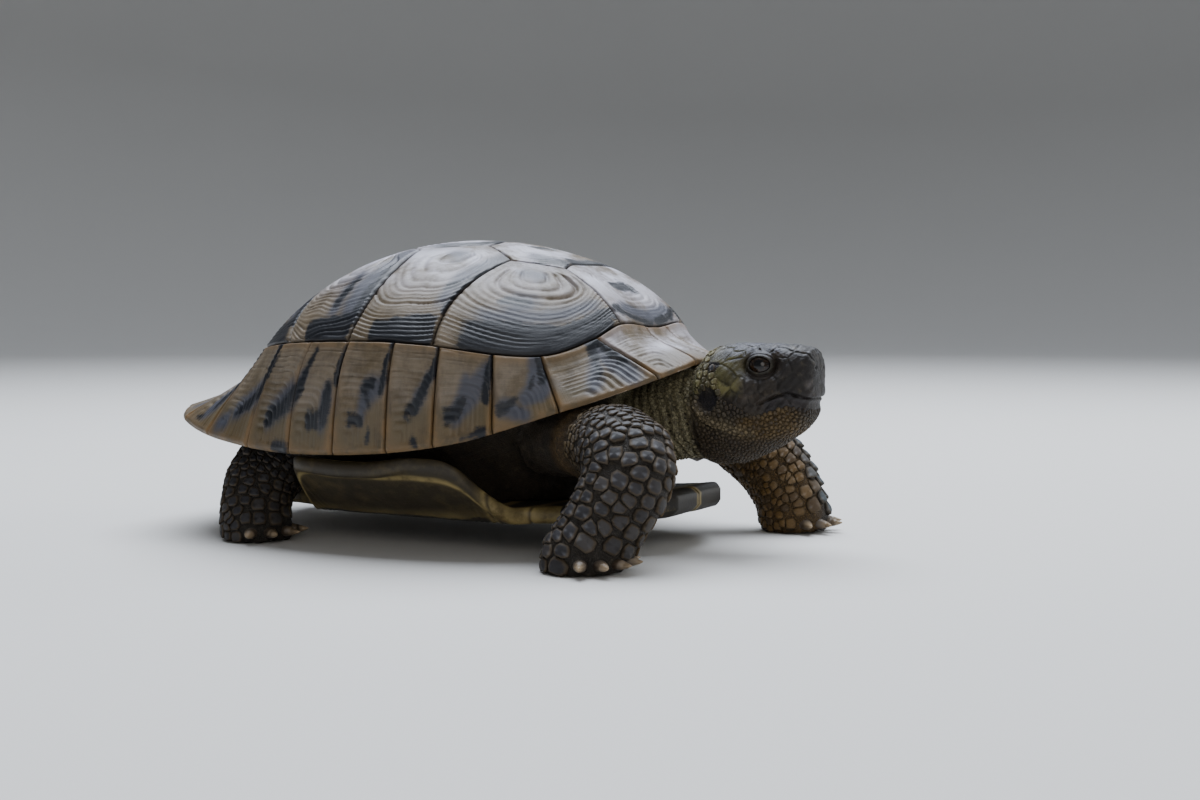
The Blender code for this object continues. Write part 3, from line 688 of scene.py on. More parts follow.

# Painted blue-grey sky reflection, in strokes drawn the same way.
SKY_WASH = {
    "costal_1": [
        [(0.64, 0.46, 0.10), (0.70, 0.34, 0.06)],
        [(0.15, 0.36, 0.08), (0.80, 0.30, 0.06)],
        [(0.52, 0.80, 0.08), (0.68, 0.82, 0.07)],
    ],
    "costal_2": [
        [(0.10, 0.95, 0.10), (0.16, 0.66, 0.12), (0.12, 0.40, 0.08)],
        [(0.5, 0.78, 0.06), (0.64, 0.84, 0.05)],
    ],
    "costal_3": [[(0.08, 0.9, 0.10), (0.10, 0.3, 0.12)], [(0.30, 0.6, 0.05), (0.30, 0.25, 0.07)]],
    "costal_4": [[(0.08, 0.9, 0.10), (0.10, 0.3, 0.12)]],
    "marginal_2": [
        [(0.10, 1.0, 0.15), (0.16, 0.5, 0.17), (0.22, 0.15, 0.10)],
        [(0.38, 0.62, 0.09), (0.62, 0.22, 0.07)],
    ],
    "marginal_3": [
        [(0.10, 0.9, 0.20), (0.22, 0.48, 0.22), (0.45, 0.36, 0.12)],
        [(0.5, 0.12, 0.10), (0.8, 0.3, 0.12)],
    ],
    "marginal_4": [
        [(0.10, 0.8, 0.10), (0.38, 0.52, 0.17), (0.60, 0.30, 0.12)],
        [(0.45, 0.66, 0.08), (0.5, 0.5, 0.1)],
    ],
    "marginal_5": [[(0.10, 0.68, 0.06), (0.35, 0.46, 0.10)]],
    "marginal_6": [[(0.12, 0.6, 0.08), (0.42, 0.52, 0.13), (0.5, 0.36, 0.08)]],
    "marginal_7": [[(0.16, 0.5, 0.10), (0.2, 0.3, 0.10)], [(0.8, 0.7, 0.08), (1.0, 0.5, 0.1)]],
    "marginal_8": [[(0.1, 0.5, 0.14), (0.55, 0.34, 0.12)]],
    "marginal_9": [[(0.1, 0.5, 0.14), (0.5, 0.34, 0.12)], [(0.7, 0.2, 0.1), (0.8, 0.15, 0.1)]],
    "marginal_10": [[(0.1, 0.6, 0.14), (0.45, 0.3, 0.16)]],
    "marginal_11": [[(0.1, 0.6, 0.16), (0.5, 0.3, 0.18)]],
    "supracaudal": [[(0.15, 0.6, 0.16), (0.5, 0.3, 0.18)]],
    "vertebral_1": [[(0.2, 0.2, 0.1), (0.5, 0.12, 0.1), (0.8, 0.2, 0.1)]],
    "vertebral_2": both((0.12, 0.4, 0.08), (0.12, 0.1, 0.1)),
    "vertebral_3": both((0.12, 0.4, 0.08), (0.12, 0.1, 0.1)),
    "vertebral_4": both((0.12, 0.4, 0.08), (0.12, 0.1, 0.1)),
}


def drawn(shapes, u, v):
    """The deepest of several drawn shapes at each point."""
    best = np.full(u.shape, -1.0)
    for shape in shapes:
        best = np.maximum(best, block(u, v, *shape[1:]) if shape[0] == "block" else stroke(u, v, *shape))
    return best


def ripple(seed, *coordinates):
    """A slow, even wandering between about -1 and 1."""
    rng = np.random.default_rng(seed)
    total = 0.0
    for octave in range(4):
        weights, phase = rng.normal(0, 2.2 * 1.6**octave, len(coordinates)), rng.uniform(0, 2 * pi)
        total = total + np.sin(sum(w * c for w, c in zip(weights, coordinates)) + phase) * 0.6**octave
    return total / 1.6


def bell(distance, width):
    """1 at no distance, falling smoothly to about a third at the width."""
    return np.exp(-((distance / width) ** 2))


def growth(kind, u, v):
    """0 at a plate's oldest point and 1 along its edge."""
    (heart_u, heart_v), n = HEARTS[kind], CORNERS[kind]
    across = np.where(u > heart_u, (u - heart_u) / (1 - heart_u), (heart_u - u) / heart_u)
    upward = np.where(v > heart_v, (v - heart_v) / (1 - heart_v), (heart_v - v) / heart_v)
    return (SIDE_SHARE[kind] * across**n + upward**n) ** (1 / n)


def rings_passed(kind, wander, u, v):
    """Growth, and the number of rings passed, at each point of a plate."""
    age = growth(kind, np.clip(u + wander, 0, 1), np.clip(v + wander, 0, 1))
    lines = RING_LINES[kind]
    return age, np.interp(age, lines, np.arange(len(lines))) + np.maximum(age - 1, 0) * 20


def laid_out(name, place):
    """A plate's slab, and for each of its points the ring that it lies on and how far off the edges are."""
    key = name.replace("_left", "").replace("_right", "")
    kind = key.split("_")[0] if key.split("_")[0] in RING_LINES else "marginal"
    seed = sum(ord(letter) * (i + 3) for i, letter in enumerate(name))
    run, middle = np.linspace(0, 1, 20), np.full(20, 0.5)
    lines = carapace(place(run, middle)), carapace(place(middle, run))
    width, height = (np.linalg.norm(np.diff(line, axis=0), axis=1).sum() for line in lines)
    columns, rows = (int(round(size / CELL)) + 2 * EDGE_STEPS for size in (width, height))
    mesh = grid_slab(columns, rows)
    square = points_of(mesh)
    gap_u, gap_v = SEAM_GAP / 3 / width, SEAM_GAP / 3 / height
    u = gap_u + tightened(square[:, 0], columns, EDGE_WIDTH / width) * (1 - 2 * gap_u)
    v = gap_v + tightened(square[:, 1], rows, EDGE_WIDTH / height) * (1 - 2 * gap_v)
    at = SimpleNamespace(key=key, kind=kind, marginal=kind == "marginal", seed=seed, u=u, v=v)
    at.outside, at.along, at.up = square[:, 2] > 0.5, u * width, v * height
    wander = RING_WANDER[kind] * ripple(seed + 2, u * 2.0, v * 2.0)
    at.age, at.rings = rings_passed(kind, wander, u, v)
    nudges = (RING_NUDGE / width, 0), (0, RING_NUDGE / height)
    slopes = [(rings_passed(kind, wander, u + du, v + dv)[1] - at.rings) / RING_NUDGE for du, dv in nudges]
    at.ring_width = 1 / np.maximum(np.hypot(*slopes), 0.05)
    strengths = np.random.default_rng(seed + 9).uniform(*RING_STRENGTH, MOST_RINGS)
    at.strength = strengths[np.clip(np.round(at.rings), 0, MOST_RINGS - 1).astype(int)]
    at.from_foot, at.from_top, at.from_ends = v * height, (1 - v) * height, np.minimum(u, 1 - u) * width
    at.from_seam = np.minimum(at.from_top, at.from_ends)
    if not at.marginal:
        at.from_seam = np.minimum(at.from_foot, at.from_seam)
    return mesh, at


def plate_depth(at, disc):
    """How deep each point lies under the smooth carapace: rings, seams and lips outside, thickness inside."""
    swell = 1 - np.sin(pi * (at.rings - np.floor(at.rings))) ** 0.65
    fade = np.clip(at.rings / 1.2, 0, 1) * (0.80 + 0.35 * ripple(at.seed + 5, at.u * 3, at.v * 3))
    fade = np.clip(fade, 0, 1.3) * soft(at.ring_width, *RING_FADE[at.kind])
    depth = RING_RELIEF[at.kind] * np.clip(at.ring_width / 2.6, 0.2, 1.25) * swell * fade * at.strength
    if at.marginal:
        depth = depth + MARGINAL_LIP * (1 - bell(np.maximum(at.from_seam - 0.7, 0), 1.5))
    uneven = UNEVENNESS * (1 + ripple(at.seed + 7, at.u * 2, at.v * 2)) * (at.from_seam > 0)
    depth = depth + SEAM_DEPTH * bell(at.from_seam, 0.42) + uneven
    rimward = np.clip((np.hypot(disc[:, 0], disc[:, 1]) - SEAM_RADIUS) / (1 - SEAM_RADIUS), 0, 1)
    inside = PLATE_THICKNESS + (RIM_THICKNESS - PLATE_THICKNESS) * rimward
    if at.marginal:
        depth = depth + RIM_ROUNDING * bell(at.from_foot, 0.7)
        inside = inside - 0.5 * bell(at.from_foot, 0.7)
    return np.where(at.outside, depth + SUNK, inside)


def plate_fields(at, normal, right):
    """What a plate's finish reads: rings, black patches, painted blue-grey sky reflection, pale colour with
    painted sky sheen, painted shade on the rim's lower half, amber lips and dirty seams.
    """
    u, v, seed = at.u, at.v, at.seed
    drift = np.random.default_rng(seed).uniform(-0.02, 0.02, 2)
    if right and at.kind != "vertebral":
        drift = (0.0, 0.0)
    pattern = [t + drift[k] + 0.5 * (0.02 * ripple(seed + k, u * 2.0, v * 2.0)) for k, t in enumerate((u, v))]
    # Pale near a plate's oldest point, plus a painted sky sheen where the plate faces up.
    pale = 0.05 + 0.14 * bell(at.age, 0.5) + 0.85 * soft(normal[:, 2], *SKY_SHEEN_SLOPE)
    if at.key in SKY_SHEEN_FRONT_PLATES:
        pale = pale + 0.50
    amber = 0.0 * u
    if at.marginal:
        amber = bell(at.from_ends, 1.3) * np.clip(1.1 - v * 0.9, 0.2, 1) + 0.85 * bell(at.from_top, 2.0)
        amber = amber + 0.6 * bell(at.from_foot, 2.2) + 0.35 * np.clip(0.55 - v, 0, 1)
        pale = pale * np.clip(0.25 + v, 0, 1)
    groove = np.clip(at.rings / 1.2, 0, 1) * np.minimum(at.strength, 1)
    groove = groove * np.clip(0.8 + 0.4 * ripple(seed + 6, u * 4, v * 4), 0.3, 1)
    seam = np.clip(bell(at.from_seam, 0.30) + np.where(at.outside, 0, 0.25), 0, 1)
    return {
        "rings": at.rings,
        "width": np.clip(at.ring_width, 0, 4),
        "fade": groove * (soft(v, 0.25, 0.45) if at.marginal else 1.0),
        # Painted shade on the lower half of the rim plates.
        "olive": soft(v, 0.50, 0.30) * at.marginal,
        "dark": drawn(BLACK.get(at.key, []), *pattern) * (1.8 if at.kind == "costal" else 1.0),
        # Painted blue-grey sky reflection, in drawn strokes.
        "wash": 0.45 + 4.5 * np.maximum(drawn(SKY_WASH.get(at.key, []), *pattern), -0.2),
        "amber": np.clip(amber, 0, 1),
        "pale": np.clip(pale, 0, 1),
        "seam": seam * (0.35 if at.marginal else 0.9),
        "along": at.along,
        "up": at.up,
    }


def shell_plate(name, place, shift, material):
    """One plate of the carapace, with the fields that its finish reads."""
    mesh, at = laid_out(name, place)
    disc = place(at.u, at.v)
    normal = carapace_normal(disc)
    points = carapace(disc) - normal * plate_depth(at, disc)[:, None]
    set_points(mesh, (points + shift) * MM)
    for field, values in plate_fields(at, normal, "right" in name).items():
        set_field(mesh, field, values)
    turned_out(mesh)
    piece("horn_" + name, mesh, material, "plate_horn", name)


# ---------------------------------------------------------------- skin

FLESH = (
    "trunk", "neck", "head", "lower_jaw", "tail",
    "foreleg_right", "foreleg_left", "hindleg_right", "hindleg_left",
)
FILLED = ("eye_left", "eye_right")
FLESH_SWELL = 0.28
SKIN_CELL = 0.44
TRUNK_TOP = 50.0
SKIN_FACES = 96_000

# Centre lines of the limbs, tail and neck: (place, half width).
FORELEG_RIGHT = [
    ((45, -27, 31), 10), ((62, -31, 31), 12.5), ((75, -38, 31), 12.5), ((80, -42.5, 24.5), 12.3),
    ((78, -46, 17), 11), ((74.5, -48.5, 9.5), 10.6), ((71.5, -50, 3.8), 11.5), ((71, -50, 0), 10.6),
]
FORELEG_LEFT = [
    ((45, 27, 31), 10), ((59, 33, 31), 12), ((69.5, 41, 28), 11.6), ((79.5, 44, 20), 11.2),
    ((85.5, 45, 10), 10.6), ((86.5, 46, 4), 11), ((86.5, 46, 0), 10),
]
HINDLEG_RIGHT = [
    ((-30, -24, 25), 11), ((-37, -35, 23), 11.5), ((-40.5, -42, 17), 10.8),
    ((-40, -46, 9), 10), ((-38.5, -47.5, 3.5), 10.4), ((-38, -47.5, 0), 9.8),
]
HINDLEG_LEFT = [
    ((-34, 24, 25), 11), ((-43, 34, 23), 11.5), ((-49, 40, 17), 10.8),
    ((-51, 43, 9), 10), ((-51, 44.5, 3.5), 10.4), ((-51, 44.5, 0), 9.8),
]
TAIL = [
    ((-52, 2, 22), 8), ((-62, 4, 21), 7.5), ((-69, 8, 18.5), 6.2),
    ((-73, 14, 15.5), 4.8), ((-73, 27, 10.5), 1.7),
]
NECK = [((46, 0, 31), 14), ((60, 0, 34), 15.5), ((71, 0, 37.2), 14.5), ((82.5, 0, 38.9), 11.8)]
LIMBS = {
    "foreleg_right": FORELEG_RIGHT,
    "foreleg_left": FORELEG_LEFT,
    "hindleg_right": HINDLEG_RIGHT,
    "hindleg_left": HINDLEG_LEFT,
    "tail": TAIL,
}
# Which way each claw points, in degrees to the left of straight ahead.
CLAW_HEADINGS = {
    "foreleg_right": (-64, -36, -8, 20, 48),
    "foreleg_left": (-46, -18, 10, 38, 66),
    "hindleg_right": (-60, -27, 6, 39),
    "hindleg_left": (-39, -6, 27, 60),
}
CLAW_LENGTH = 7.0
CLAW_RADIUS = 2.1
# A claw's middle lies this far outside the foot's half width and above the floor; its tip is turned this many
# degrees away from straight up.
CLAW_OUT, CLAW_UP, CLAW_TURN = 1.2, 2.7, 100

# The mouth's line from its corner to the beak's tip: (x, z).
MOUTH = [(100.6, 40.8), (104.2, 42.6), (107.9, 43.8), (110.8, 42.9), (114.5, 42.0), (118.0, 41.7)]
EYE_PLACE = (99.8, 6.6, 50.7)
EYE_RADIUS = 3.8
EYE_GAZE = (0.20, 0.965, 0.16)
LID_LENGTH, LID_HEIGHT, LID_RADIUS = 2.9, 2.1, 4.15
# Forward of its start, the snout is drawn in to this share of its length and stays within the solid one.
SNOUT_START, SNOUT_DRAWN_IN = 112.0, 0.74
# Folds of the lids, from the opening outwards: (place on the lid ring, rise, width).
LID_FOLDS = [(1.16, 0.22, 0.12), (1.42, -0.30, 0.09), (1.62, 0.16, 0.12), (1.86, -0.22, 0.09)]
EARDRUM = (86.8, 12.6, 41.9)
NOSTRIL = (114.5, 2.7, 50.4)


def merged_copy(node):
    """A CAD node's mesh in millimetres, its loose triangles joined."""
    bm = bmesh.new()
    bm.from_mesh(node.data)
    bmesh.ops.remove_doubles(bm, verts=bm.verts[:], dist=2e-6)
    bmesh.ops.scale(bm, verts=bm.verts[:], vec=(1 / MM, 1 / MM, 1 / MM))
    return bm


def modified(mesh, *modifiers):
    """The mesh with modifiers applied; a modifier is (type, settings)."""
    obj = bpy.data.objects.new("bench", mesh)
    bpy.context.scene.collection.objects.link(obj)
    for kind, settings in modifiers:
        modifier = obj.modifiers.new(kind, kind)
        for name, value in settings.items():
            setattr(modifier, name, value)
    made = bpy.data.meshes.new_from_object(obj.evaluated_get(bpy.context.evaluated_depsgraph_get()))
    bpy.data.objects.remove(obj)
    bpy.data.meshes.remove(mesh)
    return made


def joined_flesh(nodes):
    """The flesh solids swollen until they meet, as one mesh."""
    whole = bpy.data.meshes.new("flesh")
    everything = bmesh.new()
    for name in FLESH + FILLED:
        bm = merged_copy(nodes[name])
        if name == "trunk":
            solid = bm.verts[:] + bm.edges[:] + bm.faces[:]
            cut = bmesh.ops.bisect_plane(
                bm, geom=solid, plane_co=(0, 0, TRUNK_TOP), plane_no=(0, 0, 1), clear_outer=True
            )
            rim = [item for item in cut["geom_cut"] if isinstance(item, bmesh.types.BMEdge)]
            bmesh.ops.holes_fill(bm, edges=rim)
        bm.normal_update()
        swell = {vert: vert.co + vert.normal * FLESH_SWELL for vert in bm.verts}
        for vert, place in swell.items():
            vert.co = place
        bm.to_mesh(whole)
        bm.free()
        everything.from_mesh(whole)
    everything.to_mesh(whole)
    everything.free()
    return whole


def smoothed(values, edges, rounds, hold=None):
    """Values on a mesh's points, each drawn halfway to its neighbours' mean in every round."""
    count = len(values)
    ends, starts = edges.T.ravel(), edges[:, ::-1].T.ravel()
    share = np.maximum(np.bincount(ends, minlength=count), 1)[:, None]
    values = values.reshape(count, -1).copy()
    for _ in range(rounds):
        mean = np.stack([np.bincount(ends, column[starts], count) for column in values.T], 1) / share
        step = 0.5 * (mean - values)
        values += step if hold is None else step * (1 - hold[:, None])
    return values


def along_line(stations, points):
    """For each point: its share along a centre line, its distance over the half width, its turn about it."""
    stops = np.array([place for place, _ in stations], float)
    widths = np.array([width for _, width in stations], float)
    lengths = np.linalg.norm(np.diff(stops, axis=0), axis=1)
    ratio = np.full(len(points), np.inf)
    share, turn = np.zeros(len(points)), np.zeros(len(points))
    for i, (start, end) in enumerate(zip(stops, stops[1:])):
        ahead = end - start
        t = np.clip((points - start) @ ahead / (ahead @ ahead), 0, 1)
        away = points - start - t[:, None] * ahead
        distance = np.linalg.norm(away, axis=1)
        width = widths[i] + (widths[i + 1] - widths[i]) * t
        level = abs(ahead[2]) < 0.8 * np.linalg.norm(ahead)
        side = unit(np.cross(ahead, (0.0, 0.3, 1.0) if level else (1.0, 0.0, 0.0)))
        deep = unit(np.cross(ahead, side))
        closer = distance / width < ratio
        share = np.where(closer, (lengths[:i].sum() + t * lengths[i]) / lengths.sum(), share)
        ratio = np.where(closer, distance / width, ratio)
        turn = np.where(closer, np.arctan2(away @ deep, away @ side), turn)
    return share, ratio, turn


def soft(value, start, end):
    """0 before start, 1 after end, smooth between; start may lie above end."""
    t = np.clip((value - start) / (end - start), 0, 1)
    return t * t * (3 - 2 * t)


def zones(points, normals):
    """How far each point belongs to the animal's regions, as numbers from 0 to 1."""
    x, y, z = points.T
    side = np.abs(y)
    nearness = {name: along_line(line, points) for name, line in LIMBS.items()}
    reach = np.stack([nearness[name][1] for name in LIMBS])
    neck_reach = along_line(NECK, points)
    found = {}
    head = soft(x, 80.5, 83.0) * soft(side, 17, 15) * soft(z, 22, 24)
    for i, name in enumerate(LIMBS):
        share, ratio, _ = nearness[name]
        limit = 1.16 if name != "tail" else 1.25
        mine = soft(ratio, limit + 0.12, limit) * (reach.argmin(0) == i) * soft(share, 0.10, 0.2)
        found[name] = mine * (1 - head)
        found[name + "_share"], found[name + "_turn"] = share, nearness[name][2]
    found["head"] = head
    legs = np.max([found[name] for name in LIMBS], 0)
    found["neck"] = soft(neck_reach[1], 1.25, 1.1) * (1 - head) * (1 - legs) * soft(x, 56, 62)
    found["trunk"] = (1 - head) * (1 - legs) * (1 - found["neck"])
    found["legs"] = legs
    found["up"] = soft(normals[:, 2], 0.2, 0.8)
    return found


def near_side(points):
    """The points, those of the right side mirrored to the left."""
    return np.stack([points[:, 0], np.abs(points[:, 1]), points[:, 2]], 1)


def near(points, place, radius):
    """1 at a place on either side of the head, fading to 0 at the radius."""
    return soft(np.linalg.norm(near_side(points) - place, axis=1), radius, 0)


def near_path(points, path, width):
    """1 on a path drawn on either side of the animal, fading to 0 at the width."""
    best = np.full(len(points), np.inf)
    for start, end in zip(np.array(path[:-1], float), np.array(path[1:], float)):
        ahead = end - start
        t = np.clip((near_side(points) - start) @ ahead / (ahead @ ahead), 0, 1)
        best = np.minimum(best, np.linalg.norm(near_side(points) - start - t[:, None] * ahead, axis=1))
    return np.exp(-((best / width) ** 2))


def table_at(table, at):
    """Values between the (place, value) pairs of a table, along straight lines."""
    return np.interp(at, *zip(*table))


def above_mouth(points):
    """Height over the mouth's line."""
    return points[:, 2] - table_at(MOUTH, points[:, 0])


def from_eardrum(points, z_scale=1.0):
    """Distance from the middle of the nearer eardrum, counted half across the head."""
    return np.linalg.norm((near_side(points) - EARDRUM) * (1.0, 0.5, z_scale), axis=1)


def roaming(seed, points, size):
    """A ripple through the animal whose waves are about this many millimetres long."""
    return ripple(seed, *(points.T / size))


def toward(colours, target, share):
    """Colours drawn towards a target colour by a share for each point."""
    return colours + (np.array(target) - colours) * share[:, None]


# The loose fold of skin from behind the jaw down to the throat: (x, y, z).
THROAT_FOLD = [
    (82.5, 12.6, 40.0), (84.5, 12.6, 37.6), (87.5, 12.2, 35.8), (92, 11.2, 34.5), (97.5, 9.2, 33.4),
]
# Middles of the head's plates: (x, y) on the crown, and (x, z) on the cheeks and the beak.
CROWN_PLATES = [
    (110.5, 2.3), (106.3, 3.2), (106.0, 7.2), (101.3, 0.0), (100.6, 4.6), (96.0, 2.4), (97.6, 7.6),
    (93.4, 5.8), (91.8, 0.0), (90.6, 3.4), (89.6, 7.6), (87.2, 1.6), (86.6, 5.2), (93.2, 9.2),
]
CHEEK_PLATES = [
    (94.6, 50.2), (92.6, 47.6), (95.4, 45.2), (98.6, 45.2), (102.4, 45.9), (93.0, 42.4), (96.6, 41.6),
    (99.4, 42.4), (106.6, 50.6), (110.4, 51.6), (91.0, 44.6), (94.6, 39.4), (98.2, 39.2),
]
BEAK_PLACES = [(108.5, 46.2), (106.5, 39.0), (111.5, 40.0)]
# Half the head's width at the cheeks: (x, half width).
CHEEK_WIDTHS = [
    (88, 12.9), (92, 12.5), (96, 11.7), (100, 10.8), (104, 9.6), (107.5, 8.4), (111, 6.8), (113, 5.4),
]
# The crown's plates are looked for at this height.
CROWN_Z = 56.0


def head_plates(points):
    """Distance to the nearest edge between two head plates, and a number from 0 to 1 for each plate."""
    places = []
    for x, y in CROWN_PLATES:
        places += [(x, s * y, CROWN_Z) for s in ((1, -1) if y else (1,))]
    for x, z in CHEEK_PLATES + BEAK_PLACES:
        places += [(x, s * table_at(CHEEK_WIDTHS, x), z) for s in (1, -1)]
    places = np.array(places)
    wander = 0.40 * np.stack([roaming(71 + k, points, 3) for k in range(3)], 1)
    from_place = np.linalg.norm((points + wander)[:, None] - places[None], axis=2)
    order = np.argsort(from_place, axis=1)
    rows = np.arange(len(points))
    first, second = from_place[rows, order[:, 0]], from_place[rows, order[:, 1]]
    apart = np.linalg.norm(places[order[:, 0]] - places[order[:, 1]], axis=1)
    return (second**2 - first**2) / (2 * apart), (order[:, 0] * 0.381) % 1.0


def plate_zone(points, normals, found):
    """Where the head has large plates: the crown, the cheeks and the beak."""
    x, _, z = points.T
    crown = soft(normals[:, 2], 0.25, 0.6) * soft(z, 49.5, 51.5) * soft(x, 84.5, 87.0)
    cheek = soft(x + 0.35 * (z - 44), 89.5, 91.5) * soft(z - 0.55 * (100 - x), 36.4, 38.0)
    cheek = cheek * (1 - soft(above_mouth(points), -2.6, -3.3) * soft(x, 98.5, 100.5))
    clear = soft(from_eardrum(points), 3.6, 4.4) * soft(lid_ring(points), 1.7, 2.1)
    return np.maximum(crown, cheek) * found["head"] * clear


def eye_axes():
    """Directions of the left eye: forwards along the lids, up across them, and out along the gaze."""
    gaze = unit(np.array(EYE_GAZE))
    ahead = unit(np.cross(np.cross(gaze, (1.0, 0.0, 0.22)), gaze))
    above = np.cross(ahead, gaze)
    return ahead, above * np.sign(above[2]), gaze


def flipped(vectors, side):
    """Vectors of the right side turned to the left, or back again."""
    return vectors * np.stack([np.ones(len(side)), side, np.ones(len(side))], 1)


def in_eye_frame(points):
    """Places measured from the middle of the eyeball along the three directions of the eye."""
    local = flipped(points, np.sign(points[:, 1])) - EYE_PLACE
    return [local @ axis for axis in eye_axes()]


def lid_ring(points):
    """1 along the edge of the eye's opening, more outside it, less inside."""
    a, b, h = in_eye_frame(points)
    height = np.where(b > 0, LID_HEIGHT, LID_HEIGHT * 1.02)
    return np.sqrt((a / LID_LENGTH) ** 2 + ((b + 0.10 * a) / height) ** 2) + 9.0 * (h < -2.0)


def sculpt_head(points, normals, found):
    """Beak, mouth, nostrils, eardrums and the folds of neck and throat, pressed into the skin, then lids."""
    x, _, z = points.T
    head, neck = found["head"], found["neck"]
    lift = np.zeros(len(points))
    above = above_mouth(points)
    in_mouth = soft(x, 99.6, 101.0) * head
    lift -= 1.0 * bell(above, 0.33) * in_mouth
    lift += 0.30 * bell(above - 1.2, 1.0) * in_mouth
    lift -= 0.45 * bell(above + 1.3, 1.1) * in_mouth * soft(x, 101, 103)
    lift -= 0.9 * near(points, NOSTRIL, 0.95)
    lift += 0.25 * near(points, np.array(NOSTRIL) + (0.1, 0.3, 1.0), 1.2)
    drum = from_eardrum(points, 0.9)
    lift -= 0.45 * soft(drum, 3.3, 2.4) * head
    lift += 0.22 * bell(drum - 3.6, 0.6) * head
    lift += 0.75 * near_path(points, THROAT_FOLD, 0.85)
    lift -= 0.7 * near_path(points, [(a, b, c - 1.5) for a, b, c in THROAT_FOLD], 0.55)
    border, _ = head_plates(points)
    zone = plate_zone(points, normals, found)
    strength = 0.38 + 0.55 * soft(normals[:, 2], 0.3, 0.7)
    lift += 0.075 * roaming(24, points, 1.1) * zone
    lift += zone * strength * (0.18 * (1 - np.exp(-border / 0.7)) - 0.22 * bell(border, 0.24))
    lift += 0.5 * near(points, (95.5, 11.8, 44.3), 4.5) * head
    lift -= 0.5 * bell(above + 2.0, 1.6) * head * soft(x, 109, 113)
    wrinkle = x * 2.6 + 0.45 * z + 1.6 * roaming(21, points, 9)
    lift += 0.34 * np.sin(wrinkle) * neck * (0.5 + 0.5 * soft(z, 48, 38))
    throat_wrinkle = x * 0.9 + z * 2.1 + 1.7 * roaming(22, points, 8)
    lift += 0.22 * np.sin(throat_wrinkle) * soft(z, 34, 30) * head * soft(x, 100, 92)
    lift += 0.18 * np.sin(x * 2.9 + 0.9 * z) * soft(x, 86.5, 83.5) * head
    lift += 0.10 * roaming(23, points, 4) * (neck + head * 0.5)
    return shape_lids(points + normals * lift[:, None], normals, head)


def shape_lids(points, normals, head):
    """Two folded lids over each eyeball, running out into the skin around them. h is out along the gaze."""
    side = np.sign(points[:, 1])
    ahead, above, gaze = eye_axes()
    a, b, h = in_eye_frame(points)
    ring = lid_ring(points)
    reachable = (h > -1.5) & (np.hypot(a, b) < 7.5) & (head > 0.5)
    facing = flipped(normals, side) @ gaze
    hold = np.where(ring < 1.5, 1.0, soft(facing, 0.25, 0.6)) * soft(ring, 2.7, 2.1)
    lid = np.sqrt(np.maximum(LID_RADIUS**2 - a**2 - b**2, 0.6))
    outer = soft(ring, 1.15, 2.15)
    folded = lid
    for at, rise, width in LID_FOLDS:
        folded = folded + rise * bell(ring - at, width)
    height = folded * (1 - outer) + np.maximum(h, 0) * outer - 0.25 * bell(ring - 2.1, 0.25)
    height = np.where(ring < 1.0, 0.8, height)
    moved = np.where(reachable, h + (height - h) * hold, h)
    placed = EYE_PLACE + a[:, None] * ahead + b[:, None] * above + moved[:, None] * gaze
    return np.where((reachable & (ring < 2.8))[:, None], flipped(placed, side), points)


def fold_limbs(points, normals, found):
    """Loose folds where the legs leave the body, and the small wrinkles of bare skin."""
    x, _, z = points.T
    lift = np.zeros(len(points))
    for name in LIMBS:
        share, mine = found[name + "_share"], found[name]
        start = 0.30 if name.startswith("fore") else 0.22
        lift += 0.9 * bell(share - start, 0.022) * mine - 0.6 * bell(share - start - 0.035, 0.018) * mine
    bare = found["trunk"] + 0.3 * found["legs"]
    lift += 0.42 * np.sin(x * 1.9 + 1.4 * roaming(31, points, 7) + 0.2 * z) * found["trunk"]
    lift += 0.16 * roaming(32, points, 2.5) * bare
    lift -= 0.55 * found["legs"] + 0.12 * found["head"] + 0.1 * found["neck"]
    return points + normals * lift[:, None]


def claw_axes():
    """The line down the middle of each claw: where it starts and which way it points."""
    for name, headings in CLAW_HEADINGS.items():
        centre, half_width = LIMBS[name][-1]
        for heading in headings:
            away = np.array([cos(radians(heading)), sin(radians(heading)), 0.0])
            out, up = sin(radians(CLAW_TURN)), cos(radians(CLAW_TURN))
            axis = unit(np.array([away[0] * out, away[1] * out, up]))
            middle = np.array(centre) + away * (half_width + CLAW_OUT) + (0, 0, CLAW_UP)
            yield middle - axis * CLAW_LENGTH / 2, axis


def thin_claws(points):
    """Draws the skin in around each claw's axis, so that the claw's horn can cover it."""
    for start, axis in claw_axes():
        t = (points - start) @ axis
        away_from = points - start - np.clip(t, 0, CLAW_LENGTH)[:, None] * axis
        grip = soft(t, 1.5, 3.2) * soft(np.linalg.norm(away_from, axis=1), 3.6, 2.6)
        points = points - away_from * (0.62 * grip)[:, None] - axis * (grip * 0.9 * soft(t, 4, 7))[:, None]
    return points


def from_claws(points):
    """How far each point lies from the nearest claw's line."""
    nearest = np.full(len(points), 99.0)
    for start, axis in claw_axes():
        along = np.clip((points - start) @ axis, 0, CLAW_LENGTH + 2)[:, None] * axis
        nearest = np.minimum(nearest, np.linalg.norm(points - start - along, axis=1))
    return nearest


